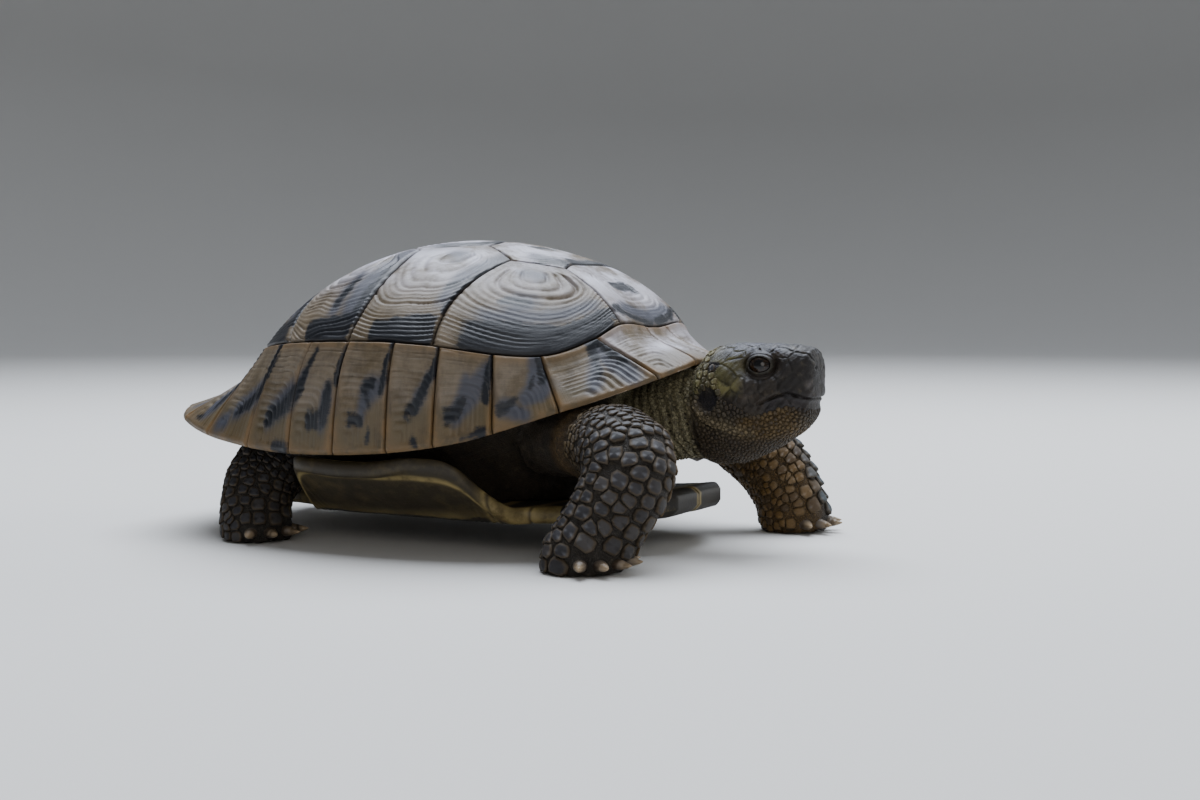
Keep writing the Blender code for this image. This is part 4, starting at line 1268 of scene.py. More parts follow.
TINTS = {
    "bare": (0.034, 0.023, 0.013),
    "trunk": (0.026, 0.018, 0.010),
    "neck": (0.175, 0.155, 0.088),
    "head": (0.038, 0.030, 0.018),
    "crown": (0.030, 0.031, 0.046),
    "snout": (0.0125, 0.0095, 0.0085),
    "temple": (0.112, 0.100, 0.036),
    "cheek": (0.023, 0.017, 0.0125),
    "lip": (0.019, 0.016, 0.017),
    "chin": (0.075, 0.046, 0.014),
    "throat": (0.036, 0.025, 0.014),
    "fold": (0.19, 0.15, 0.085),
    "drum": (0.013, 0.012, 0.018),
    "foreleg": (0.024, 0.019, 0.014),
    "inner_leg": (0.100, 0.058, 0.018),
    "hindleg": (0.022, 0.018, 0.014),
    "tail": (0.040, 0.032, 0.022),
    "plate_edge": (0.006, 0.005, 0.004),
    # Painted highlight on the raised edges of the head's plates.
    "plate_edge_highlight": (0.12, 0.12, 0.13),
    "lid_edge": (0.030, 0.030, 0.022),
    # Painted highlight under the nostrils.
    "beak_highlight": (0.10, 0.085, 0.08),
}


def skin_tint(points, normals, found):
    """The colour of skin and scales at each point, with painted highlights on the head's plates and on the
    beak.
    """
    x, y, z = points.T
    head = found["head"]
    tint = np.tile(np.array(TINTS["bare"]), (len(points), 1))

    def paint(name, share):
        nonlocal tint
        tint = toward(tint, TINTS[name], np.clip(share, 0, 1))

    patches = 0.5 + 0.5 * roaming(41, points, 3.2)
    above = above_mouth(points)
    under_beak = soft(above, -4.2, -3.2)
    streak = soft(np.abs(z - 50.4), 1.6, 0.9) * soft(patches, 0.62, 0.42) * soft(x, 85, 87)
    eardrum_edge = soft(from_eardrum(points) + 0.6 * roaming(42, points, 1.5), 3.6, 2.7)
    paint("trunk", found["trunk"])
    paint("neck", found["neck"])
    paint("head", head)
    paint("throat", head * soft(z, 36.5, 32.0))
    paint("cheek", head * soft(x, 90, 93) * soft(z, 36.5, 39.5))
    paint("temple", head * soft(x, 97.5, 94.5) * soft(z, 42.0, 44.5) * (0.5 + 0.5 * patches))
    paint("drum", head * soft(x, 92.5, 91) * streak)
    paint("crown", head * soft(normals[:, 2], 0.45, 0.8) * soft(z, 50.5, 53) * soft(x, 84, 92))
    paint("snout", head * soft(x, 103.5, 107.5) * soft(z, 41.0, 43.0))
    paint("snout", head * near(points, (100.0, 9.5, 50.8), 8.5) * 0.9)
    paint("lip", head * soft(above, 0.1, -0.4) * under_beak * soft(x, 101, 103))
    paint("snout", head * soft(above, 0.1, -0.3) * under_beak * soft(x, 109, 112.5))
    chin = soft(above, -3.1, -3.8) * soft(z, 30.5, 33.0) * soft(x, 93.5, 96.5) * soft(x, 112, 108)
    paint("chin", head * chin)
    paint("drum", head * eardrum_edge * (0.75 + 0.25 * patches))
    paint("fold", near_path(points, THROAT_FOLD, 1.5) * 0.95)
    border, tone = head_plates(points)
    zone = plate_zone(points, normals, found)
    upward = soft(normals[:, 2], 0.2, 0.7)
    tint = tint * (1 + (0.9 * tone - 0.45) * zone)[:, None]
    paint("plate_edge", zone * bell(border, 0.30) * (0.45 + 0.30 * upward))
    # Painted highlight along the raised edges of the plates, where they face up.
    paint("plate_edge_highlight", 0.45 * (zone * bell(border - 0.75, 0.3) * upward))
    paint("lid_edge", 0.6 * (head * bell(lid_ring(points) - 1.14, 0.10)))
    # Painted highlight on the beak under the nostrils.
    paint("beak_highlight", 0.5 * near(points, (112.6, 5.4, 46.2), 2.2) * head)
    for name in LIMBS:
        mine, kind = found[name], name.split("_")[0]
        paint(kind, mine)
        if kind == "foreleg":
            inward = soft(normals[:, 1] * np.sign(y), 0.1, -0.7)
            paint("inner_leg", mine * inward * 0.9)
            paint("inner_leg", mine * bell(found[name + "_share"] - 0.29, 0.06) * 0.7)
    return tint


def set_tint(mesh, colours):
    """Stores a colour for each point."""
    attribute = mesh.attributes.new("tint", "FLOAT_COLOR", "POINT")
    solid = np.concatenate([colours, np.ones((len(colours), 1))], 1)
    attribute.data.foreach_set("color", solid.astype(np.float32).ravel())


def refine_face(mesh):
    """Finer skin over the head's plates, and finer again round the eyes, where the lids are."""
    bm = bmesh.new()
    bm.from_mesh(mesh)
    socket = Vector(EYE_PLACE)
    for reach, everywhere in ((7.0, True), (5.6, False)):
        close = set()
        for vert in bm.verts:
            place = Vector((vert.co.x, abs(vert.co.y), vert.co.z))
            beside_eye = (place - socket).length < reach and place.y > EYE_PLACE[1] - 1.0
            plated = place.x > 85 and place.z > 37.5 + 0.25 * (100 - place.x) and place.y < 15
            if beside_eye or (everywhere and plated):
                close.add(vert)
        edges = [edge for edge in bm.edges if edge.verts[0] in close and edge.verts[1] in close]
        bmesh.ops.subdivide_edges(bm, edges=edges, cuts=1, use_grid_fill=True, smooth=0.0)
    bmesh.ops.triangulate(bm, faces=[face for face in bm.faces if len(face.verts) > 3])
    bm.to_mesh(mesh)
    bm.free()


def skin(nodes, shift, material):
    """One skin over all the flesh: joined, evened out, thinned where the shell hides it, then sculpted."""
    voxels = {"mode": "VOXEL", "voxel_size": SKIN_CELL, "adaptivity": 0.0}
    mesh = modified(joined_flesh(nodes), ("REMESH", voxels))
    points = points_of(mesh) - shift
    edges = edges_of(mesh)
    sole = soft(points[:, 2], 1.2, 0.2)
    points = smoothed(points, edges, 30, sole)
    points[:, 2] = np.maximum(points[:, 2], 0.0)
    set_points(mesh, points)
    found = zones(points, normals_of(mesh))
    hidden = found["trunk"] * soft(points[:, 2], 30, 36)
    hidden = hidden + found["trunk"] * soft(np.abs(points[:, 0] - 5), 45, 35)
    hidden = np.clip(hidden + found["trunk"] * soft(np.abs(points[:, 1]), 30, 24), 0, 1)
    keep = np.clip(1 - hidden, 0, 1) * 0.012 * (1 - 0.4 * found["legs"])
    keep = np.where(found["head"] > 0.4, 1.0, np.where(found["neck"] > 0.4, 0.06, keep))
    bench = bpy.data.objects.new("thinning", mesh)
    group = bench.vertex_groups.new(name="loose")
    for level in np.unique(np.round(1 - keep, 3)):
        members = np.nonzero(np.round(1 - keep, 3) == level)[0]
        group.add(members.tolist(), float(level), "REPLACE")
    bpy.context.scene.collection.objects.link(bench)
    thin = bench.modifiers.new("thin", "DECIMATE")
    thin.ratio = SKIN_FACES / (2 * len(mesh.polygons))
    thin.vertex_group, thin.use_collapse_triangulate = "loose", True
    thinned = bpy.data.meshes.new_from_object(bench.evaluated_get(bpy.context.evaluated_depsgraph_get()))
    bpy.data.objects.remove(bench)
    refine_face(thinned)
    points, normals = points_of(thinned), normals_of(thinned)
    found = zones(points, normals)
    points = thin_claws(fold_limbs(sculpt_head(points, normals, found), normals, found))
    points[:, 0] -= (1 - SNOUT_DRAWN_IN) * np.maximum(points[:, 0] - SNOUT_START, 0)
    points[:, 2] = np.maximum(points[:, 2], 0.0)
    set_points(thinned, points)
    normals = normals_of(thinned)
    set_tint(thinned, skin_tint(points, normals, found))
    beak = found["head"] * soft(points[:, 0], 101, 104) * soft(above_mouth(points), -3.6, -3.0)
    lids = found["head"] * soft(lid_ring(points), 2.3, 1.8)
    set_field(thinned, "smooth", np.maximum(np.maximum(plate_zone(points, normals, found), beak), lids))
    set_points(thinned, (points + shift) * MM)
    obj = piece("skin", thinned, material, "scaly_skin", *FLESH)
    return obj, points, normals, found


def scaly_skin():
    """Leathery skin: the markings, fine folds and small grains between the scales, and smooth worn plates."""
    finish = Finish("scaly_skin", IOR=1.33)
    tint = finish.node("Attribute", {"attribute_name": "tint"}, output="Color")
    smooth = finish.field("smooth")
    mottle = finish.noise(420.0, 4.0, roughness=0.65)
    wear = finish.noise(900.0, 5.0, roughness=0.7, distortion=0.6)
    pebble = finish.step(finish.cell_edges(1700.0), 0.02, 0.22)
    pebble = pebble.most(smooth)
    fine = finish.noise(2400.0, 3.0)
    deep = finish.blend(0.70, tint, (0.005, 0.004, 0.003))
    light = finish.blend(0.22, tint, (0.20, 0.16, 0.10))
    colour = finish.blend(finish.step(mottle, 0.30, 0.52), deep, tint)
    colour = finish.blend(finish.step(mottle, 0.54, 0.74) * 0.75, colour, light)
    colour = finish.blend(finish.step(wear, 0.60, 0.72) * smooth * 0.35, colour, (0.085, 0.070, 0.060))
    colour = finish.blend((1.0 - pebble) * 0.55, colour, (0.006, 0.0045, 0.003))
    finish.colour(colour)
    finish.rough(0.63 - pebble * 0.10 - smooth * 0.06 + (fine - 0.5) * 0.2 + (wear - 0.5) * 0.2)
    finish.bump(pebble * 0.7 + mottle * 0.35 + fine * 0.12 + wear * 0.8, 0.24)
    return finish.material


# ---------------------------------------------------------------- scales

SCALE_SIDES = 10
# Rows of a scale from its foot to its crown: (share of the outline, share of the height).
SCALE_ROWS = [(1.0, 0.38), (0.92, 0.78), (0.62, 0.96)]
# How far a scale's root goes into the skin, how far at most its rim bends to follow it, and the side of its
# patch of the unwrap.
SCALE_ROOT = 0.40
MOST_BEND = 0.9
PATCH = 0.003
# Where along a limb its scales start, and the colours that they are drawn towards, of which the first and the
# last are painted blue-grey sky sheen.
SCALES_START = {"foreleg": 0.34, "hindleg": 0.26, "tail": 0.22}
SKY_SHEEN_SCALE = (0.019, 0.019, 0.025)
INNER_SCALE = (0.110, 0.062, 0.018)
UPPER_SCALE = (0.100, 0.070, 0.032)
FAR_EDGE_SHEEN_SCALE = (0.040, 0.056, 0.066)


def scale_pattern():
    """One plain scale as a low closed button of unit size, its rows told apart by their radius and height."""
    bm = bmesh.new()
    foot = bmesh.ops.create_circle(bm, cap_ends=True, segments=SCALE_SIDES, radius=1.0)["verts"]
    top = foot[0].link_faces[0]
    for index in range(len(SCALE_ROWS)):
        grown = bmesh.ops.extrude_face_region(bm, geom=[top], use_keep_orig=index == 0)["geom"]
        top = next(item for item in grown if isinstance(item, bmesh.types.BMFace))
        share = SCALE_ROWS[index][0]
        for vert in top.verts:
            length = vert.co.xy.length
            vert.co = (vert.co.x * share / length, vert.co.y * share / length, index + 1.0)
    centre = bmesh.ops.poke(bm, faces=[top])["verts"][0]
    centre.co = (0.0, 0.0, len(SCALE_ROWS) + 1.0)
    return mesh_of(bm, "pattern")


def tree_of(points):
    """A search tree over the points."""
    tree = KDTree(len(points))
    for i, place in enumerate(points):
        tree.insert(place, i)
    tree.balance()
    return tree


def spaced(points, spacing, seed):
    """Places among the points that stand about their own spacing apart, evened out."""
    keys = np.floor(points / spacing.max()).astype(int)
    around = list(product((-1, 0, 1), repeat=3))
    held, chosen = {}, []

    def crowds(i, j):
        gap = points[i] - points[j]
        return gap @ gap < (0.86 * min(spacing[i], spacing[j])) ** 2

    for i in np.random.default_rng(seed).permutation(len(points)):
        kx, ky, kz = keys[i]
        close = (j for dx, dy, dz in around for j in held.get((kx + dx, ky + dy, kz + dz), ()))
        if not any(crowds(i, j) for j in close):
            held.setdefault((kx, ky, kz), []).append(i)
            chosen.append(i)
    chosen = np.array(chosen)
    for _ in range(2):
        tree = tree_of(points[chosen])
        owner = np.empty(len(points), int)
        for i, place in enumerate(points):
            nearest = min(tree.find_n(place, 3), key=lambda found: found[2] / spacing[chosen[found[1]]])
            owner[i] = nearest[1]
        count = np.bincount(owner, minlength=len(chosen))
        middle = np.stack([np.bincount(owner, points[:, k], len(chosen)) for k in range(3)], 1)
        middle = middle / np.maximum(count, 1)[:, None]
        everything = tree_of(points)
        moved = [everything.find(place)[1] if n else old for place, n, old in zip(middle, count, chosen)]
        chosen = np.array(moved)
    return np.unique(chosen)


def frames(normals, down):
    """Two directions across each scale: towards its free edge, and to its side."""
    ahead = down - (down * normals).sum(1, keepdims=True) * normals
    length = np.linalg.norm(ahead, axis=1, keepdims=True)
    spare = np.cross(normals, (0.0, 1.0, 0.0))
    ahead = np.where(length > 0.15, ahead, spare)
    ahead = ahead / np.linalg.norm(ahead, axis=1, keepdims=True)
    return ahead, np.cross(normals, ahead)


def outlines(places, spacing, ahead, across, gap, roundness):
    """Each scale's radius at each of its corners, from the room its neighbours leave."""
    tree = tree_of(places)
    turns = 2 * pi * np.arange(SCALE_SIDES) / SCALE_SIDES
    rays = np.stack([np.cos(turns), np.sin(turns)], 1)
    radii = np.empty((len(places), SCALE_SIDES))
    for i, place in enumerate(places):
        near_ones = [j for _, j, distance in tree.find_n(place, 14) if distance > 1e-6]
        offset = places[near_ones] - place
        flat = np.stack([offset @ ahead[i], offset @ across[i]], 1)
        far = np.maximum(np.linalg.norm(flat, axis=1), 1e-3)
        half = far * spacing[i] / (spacing[i] + spacing[near_ones])
        reach = np.maximum(rays @ (flat / far[:, None]).T, 0.0) / half
        radii[i] = ((reach**roundness).sum(1) + (1.30 / spacing[i]) ** roundness) ** (-1 / roundness)
    return np.maximum(radii - gap[:, None], 0.15)


def scales(name, on, sites, size, down, height, tilt, colours, sheet, gap=-0.03, roundness=9.0):
    """Many scales as one mesh, each shaped to the room it has and laid on the skin."""
    places, normals, spacing, count = on.points[sites], on.normals[sites], size[sites], len(sites)
    ahead, across = frames(normals, down)
    radii = outlines(places, spacing, ahead, across, np.full(count, gap) + 0.012 * spacing, roundness)
    row = {"count": count, "use_relative_offset": False, "use_constant_offset": True}
    mesh = modified(scale_pattern(), ("ARRAY", {**row, "constant_offset_displace": (4.0, 0.0, 0.0)}))
    pattern = points_of(mesh).reshape(count, -1, 3)[0]
    parts, foot = len(pattern), pattern[:, 2] < 0.5
    share = np.hypot(pattern[:, 0], pattern[:, 1])
    turn = np.arctan2(pattern[:, 1], pattern[:, 0])
    corner = np.round(turn / (2 * pi / SCALE_SIDES)).astype(int) % SCALE_SIDES
    levels = np.array([0.0, *(lift for _, lift in SCALE_ROWS), 1.0])
    level = levels[np.round(pattern[:, 2]).astype(int)]

    def on_skin(targets):
        found = [on.bvh.find_nearest(place)[0] for place in targets.reshape(-1, 3)]
        return np.array(found).reshape(targets.shape)

    turns = 2 * pi * np.arange(SCALE_SIDES) / SCALE_SIDES
    rays = np.cos(turns)[:, None] * ahead[:, None] + np.sin(turns)[:, None] * across[:, None]
    rim = places[:, None] + radii[:, :, None] * rays
    step = on_skin(rim) - rim
    far = np.linalg.norm(step, axis=2, keepdims=True)
    rim = rim + step * np.minimum(1.0, MOST_BEND / np.maximum(far, 1e-6))
    body = places[:, None] + (rim[:, corner] - places[:, None]) * share[None, :, None]
    rise = ((on_skin(body) - body) * normals[:, None]).sum(2)
    body = body + normals[:, None] * np.clip(rise, 0.0, MOST_BEND)[:, :, None]
    lift = height[:, None] * level[None] * (1 + tilt[:, None] * (np.cos(turns)[corner] * share)[None])
    lift = np.where(foot[None], -SCALE_ROOT, lift)
    made = body + normals[:, None] * lift[:, :, None]
    set_points(mesh, (made.reshape(-1, 3) + on.shift) * MM)
    set_tint(mesh, np.repeat(colours, parts, 0))
    set_field(mesh, "tone", np.repeat(np.random.default_rng(count).random(count), parts))
    set_field(mesh, "rim", np.tile(np.where(foot, 1.0, share), count))
    corners = read_rows(mesh.loops, "vertex_index", 1, np.int32)[:, 0]
    layer = mesh.uv_layers.new(name="OFBake")
    flat_places = np.repeat(sheet, parts, 0) + np.tile(pattern[:, :2] * (PATCH / 2), (count, 1))
    layer.data.foreach_set("uv", flat_places[corners].astype(np.float32).ravel())
    piece(name, mesh, on.material, "scaly_skin")


def scale_horn():
    """Horny scales: a worn, slightly shiny middle, a paler grown edge, and darker at the foot."""
    finish = Finish("scale_horn", IOR=1.38)
    tint = finish.node("Attribute", {"attribute_name": "tint"}, output="Color")
    tone, rim = finish.field("tone"), finish.field("rim")
    mottle = finish.noise(700.0, 4.0, roughness=0.6)
    grit = finish.noise(2600.0, 3.0)
    dark = finish.blend(0.60, tint, (0.010, 0.009, 0.010))
    light = finish.blend(0.12, tint, (0.17, 0.145, 0.11))
    colour = finish.blend(finish.step(tone, 0.0, 0.55), dark, tint)
    colour = finish.blend(finish.step(tone, 0.60, 1.0) * 0.8, colour, light)
    colour = finish.blend(finish.step(mottle, 0.52, 0.72) * 0.55, colour, dark)
    colour = finish.blend(finish.step(rim, 0.60, 0.90) * 0.50, colour, (0.080, 0.055, 0.026))
    colour = finish.blend(finish.step(rim, 0.96, 1.0) * 0.6, colour, (0.014, 0.010, 0.007))
    finish.colour(colour)
    finish.rough(0.58 + finish.step(rim, 0.5, 0.95) * 0.18 + (grit - 0.5) * 0.22)
    finish.bump(mottle * 0.6 + grit * 0.25, 0.12)
    return finish.material


def coat(points, normals, found, mesh, shift, material):
    """The scales of every region, smallest on face and throat, largest on the fronts of the forelegs."""
    bvh = BVHTree.FromPolygons(points.tolist(), [tuple(face.vertices) for face in mesh.polygons])
    on = SimpleNamespace(points=points, normals=normals, found=found, bvh=bvh, shift=shift, material=material)
    on.tints = skin_tint(points, normals, found)
    for order, name in enumerate(LIMBS):
        limb_scales(on, name, order)
    head_scales(on)
    neck_grains(on)


def chosen_sites(on, allowed, size, seed):
    """The skin's own points at which the scales of a region stand."""
    members = np.nonzero(allowed)[0]
    return members[spaced(on.points[members], size[members], seed)]


def sheet_place(turn, share, margin):
    """Where each scale's patch lies on the skin's unwrap: across by the turn, up by the share."""
    return np.stack([0.5 + turn / (2 * pi) * 0.98, margin + share * (1 - 2 * margin)], 1)


def limb_scales(on, name, order):
    """The scales of a leg or the tail, largest on the forelegs' fronts and by the claws."""
    share, turn, mine = on.found[name + "_share"], on.found[name + "_turn"], on.found[name]
    kind = name.split("_")[0]
    outward = on.normals[:, 1] * np.sign(on.points[:, 1])
    forward = on.normals[:, 0]
    if kind == "foreleg":
        front = np.clip(0.55 + 0.5 * forward + 0.45 * outward, 0, 1)
        size = 1.35 + 2.4 * front * soft(share, 0.34, 0.62) + 0.7 * soft(share, 0.72, 0.95)
    elif kind == "hindleg":
        size = 1.7 + 1.5 * soft(share, 0.35, 0.8)
    else:
        size = 2.3 - 0.9 * share
    size = size * (1 + 0.16 * roaming(50 + order, on.points, 3.5))
    allowed = (mine > 0.55) & (share > SCALES_START[kind])
    allowed &= (on.points[:, 2] > 1.3) & (on.normals[:, 2] > -0.85)
    allowed &= from_claws(on.points) > CLAW_RADIUS + 0.5 * size
    sites = chosen_sites(on, allowed, size, 100 + order)
    line = np.array([place for place, _ in LIMBS[name]], float)
    lengths = np.concatenate([[0], np.cumsum(np.linalg.norm(np.diff(line, axis=0), axis=1))])
    where = share[sites] * lengths[-1]
    further, nearer = ([np.interp(where + step, lengths, column) for column in line.T] for step in (3, -3))
    down = np.stack(further, 1) - np.stack(nearer, 1)
    colours = on.tints[sites]
    if kind != "tail":
        # Painted sky sheen: scales facing up and outwards are drawn towards blue-grey.
        cool = np.clip(0.35 + 0.5 * np.maximum(on.normals[sites, 2], 0) + 0.3 * outward[sites], 0, 0.85)
        colours = toward(colours, SKY_SHEEN_SCALE, cool * 0.9)
    if kind == "foreleg":
        inner = soft(outward[sites], 0.0, -0.6) * (0.4 if name.endswith("right") else 1.0)
        colours = toward(colours, INNER_SCALE, inner * 0.85)
        colours = toward(colours, UPPER_SCALE, 0.8 * soft(share[sites], 0.45, 0.36))
    height = 0.22 + 0.13 * size[sites]
    tilt = np.full(len(sites), 0.45 if kind == "foreleg" else 0.35)
    if name == "foreleg_left":
        edge = soft(forward[sites] + 0.6 * outward[sites], 0.6, 1.1)
        height, tilt = height + 0.3 * edge, tilt + 0.35 * edge
        # Painted blue-grey sheen along the far foreleg's front edge.
        colours = toward(colours, FAR_EDGE_SHEEN_SCALE, edge * 0.8)
    sheet = sheet_place(turn[sites], share[sites], 0.01)
    scales(f"scales_{name}", on, sites, size, down, height, tilt, colours, sheet)


def head_scales(on):
    """Small scales of temple, cheek and throat, clear of the large plates, eardrum, lids and beak."""
    x, y, z = on.points.T
    eye_centre, eye_squash = (100.2, 10.0, 50.9), (1, 1, 1.15)
    from_eye = np.linalg.norm((near_side(on.points) - eye_centre) * eye_squash, axis=1)
    beak = (above_mouth(on.points) > -3.3) & (x > 100.5)
    clear = (from_eardrum(on.points) > 3.1) & (from_eye > 5.2) & ~beak & ~(lid_ring(on.points) < 2.4)
    unplated = plate_zone(on.points, on.normals, on.found) < 0.25
    allowed = (on.found["head"] > 0.5) & clear & (x > 83.2) & unplated
    size = 1.15 + 0.75 * soft(x, 96, 90) * soft(z, 41, 45) - 0.2 * soft(z, 34, 31)
    size = size * (1 + 0.15 * roaming(61, on.points, 4))
    sites = chosen_sites(on, allowed, size, 200)
    count = len(sites)
    sheet = sheet_place(np.arctan2(y[sites], z[sites] - 40.0), (x[sites] - 80) / 36, 0.02)
    height, tilt = 0.16 + 0.07 * size[sites], np.full(count, 0.25)
    down = np.tile((-1.0, 0.0, -0.3), (count, 1))
    scales("scales_head", on, sites, size, down, height, tilt, on.tints[sites], sheet, 0.10, 7.0)


def neck_grains(on):
    """Fine grains on the sides and underside of the neck."""
    x, y, z = on.points.T
    allowed = (on.found["neck"] > 0.6) & (x > 66) & (on.normals[:, 2] < 0.6)
    size = np.full(len(x), 1.25)
    sites = chosen_sites(on, allowed, size, 300)
    count = len(sites)
    sheet = sheet_place(np.arctan2(y[sites], 36 - z[sites]), (x[sites] - 60) / 26, 0.02)
    height, tilt = np.full(count, 0.22), np.full(count, 0.2)
    down = np.tile((-0.2, 0.0, -1.0), (count, 1))
    scales("grains_neck", on, sites, size, down, height, tilt, on.tints[sites], sheet, 0.14, 7.0)


# ---------------------------------------------------------------- claws and eyes


def claw_width(share):
    """A claw's width along its length: full for most of it, then drawn in to a blunt tip."""
    return max(1 - share**1.5, 0.03) ** 0.7


def claws(shift, material):
    """Blunt curved digging claws, one mesh to a foot."""
    for name, headings in CLAW_HEADINGS.items():
        centre, half_width = LIMBS[name][-1]
        bm = bmesh.new()
        for heading in headings:
            made = bmesh.ops.create_circle(bm, cap_ends=True, segments=14, radius=CLAW_RADIUS * 0.98)["verts"]
            whole, face = set(made), made[0].link_faces[0]
            steps = 9
            for step in range(steps):
                grown = bmesh.ops.extrude_face_region(bm, geom=[face], use_keep_orig=step == 0)["geom"]
                ring = [item for item in grown if isinstance(item, bmesh.types.BMVert)]
                face = next(item for item in grown if isinstance(item, bmesh.types.BMFace))
                bmesh.ops.translate(bm, verts=ring, vec=(0, 0, CLAW_LENGTH * 0.96 / steps))
                middle = sum((vert.co for vert in ring), Vector()) / len(ring)
                share = (step + 1) / steps
                width = claw_width(share) / claw_width(step / steps)
                bmesh.ops.scale(bm, verts=ring, vec=(width, width, 1), space=Matrix.Translation(-middle))
                whole.update(ring)
            for vert in whole:
                share = (vert.co.z / CLAW_LENGTH) ** 2
                vert.co.x = vert.co.x * 0.86 - 0.9 * share
                vert.co.z -= CLAW_LENGTH / 2
            away = Vector((cos(radians(heading)), sin(radians(heading)), 0)) * (half_width + CLAW_OUT)
            place = Matrix.Translation(Vector(centre) + away + Vector((0, 0, CLAW_UP)))
            swing, tip_down = (Matrix.Rotation(radians(a), 4, b) for a, b in ((heading, "Z"), (CLAW_TURN, "Y")))
            bmesh.ops.transform(bm, matrix=place @ swing @ tip_down, verts=list(whole))
        mesh = mesh_of(bm, "claws")
        points = points_of(mesh)
        points[:, 2] = np.maximum(points[:, 2], 0.05)
        outside_foot = np.linalg.norm(points - np.array(centre), axis=1) - half_width
        set_field(mesh, "along", np.clip(outside_foot, 0, 8) / 8)
        set_points(mesh, (points + shift) * MM)
        piece(f"claws_{name}", mesh, material, "scaly_skin")


def claw_horn():
    """Streaked horn, brown at the root and pale at the tip."""
    finish = Finish("claw_horn", IOR=1.5)
    along = finish.field("along")
    streak = finish.noise(500.0, 4.0, roughness=0.6)
    pale_tip = finish.step(along + (streak - 0.5) * 0.2, 0.05, 0.75)
    colour = finish.blend(pale_tip, (0.055, 0.040, 0.028), (0.30, 0.22, 0.13))
    finish.colour(finish.blend(finish.step(streak, 0.55, 0.75) * 0.5, colour, (0.03, 0.023, 0.018)))
    finish.rough(0.36 + streak * 0.2)
    finish.bump(streak, 0.15)
    return finish.material


def eye(side_name, sign, shift, material):
    """A wet dark eyeball, its cornea a little proud, standing for the CAD ball."""
    bm = bmesh.new()
    bmesh.ops.create_uvsphere(bm, u_segments=48, v_segments=32, radius=EYE_RADIUS - 0.02)
    mesh = bpy.data.meshes.new("eye")
    bm.to_mesh(mesh)
    bm.free()
    gaze = unit(np.array(EYE_GAZE) * (1, sign, 1))
    points = points_of(mesh)
    up = unit(np.cross(gaze, (1.0, 0.0, 0.0)))
    turned = np.stack([np.cross(up, gaze), up, gaze], 0)
    radius = np.linalg.norm(points[:, :2], axis=1) * (points[:, 2] > 0) + 9 * (points[:, 2] <= 0)
    set_field(mesh, "ring", radius / EYE_RADIUS)
    points = points * (1 + 0.03 * soft(radius, 2.3, 0.6))[:, None]
    points = points @ turned + np.array(EYE_PLACE) * (1, sign, 1)
    set_points(mesh, (points + shift) * MM)
    piece(f"eyeball_{side_name}", mesh, material, "wet_eye", f"eye_{side_name}")


def wet_eye():
    """A black pupil in a dark brown iris, under a wet coat."""
    finish = Finish("wet_eye", IOR=1.30, Coat_Weight=0.3, Coat_Roughness=0.03)
    ring = finish.field("ring")
    fleck = finish.noise(1500.0, 4.0, roughness=0.7)
    iris = finish.blend(finish.step(fleck, 0.4, 0.7), (0.006, 0.004, 0.003), (0.030, 0.015, 0.006))
    colour = finish.blend(finish.step(ring, 0.30, 0.36), (0.0025, 0.0025, 0.003), iris)
    colour = finish.blend(finish.step(ring, 0.60, 0.72), colour, (0.006, 0.005, 0.005))
    finish.colour(colour)
    finish.rough(0.16)
    finish.bump(fleck * 0.2, 0.01)
    return finish.material


# ---------------------------------------------------------------- plastron

PLASTRON_OUTLINE = [
    (-64, 11), (-59, 20), (-50, 28), (-38, 31), (-27, 34), (-21, 46), (-16, 57.5), (-4, 59.5), (10, 59.5),
    (24, 57), (34, 53), (40, 44), (46, 36), (56, 33), (66, 28), (74, 20), (78.5, 13),
]
PLASTRON_FLOOR = 8.5
PLASTRON_THICKNESS = 4.5
BRIDGE_START, BRIDGE_END = 38.0, 57.0
BRIDGE_TOP = [(-70, 26), (-16, 26), (0, 25.2), (12, 25.6), (24, 28), (36, 31), (80, 34)]
ANAL_NOTCH = 6.0
GULAR_LIFT = 1.5
GULAR_SWELLING = 3.0
# Seams across the plastron: (x at the midline, how far the seam's ends lie further forward).
PLASTRON_SEAMS = [(66.0, 7.0), (47.5, -2.0), (33.0, 6.0), (-24.0, 2.0), (-45.0, -7.0)]


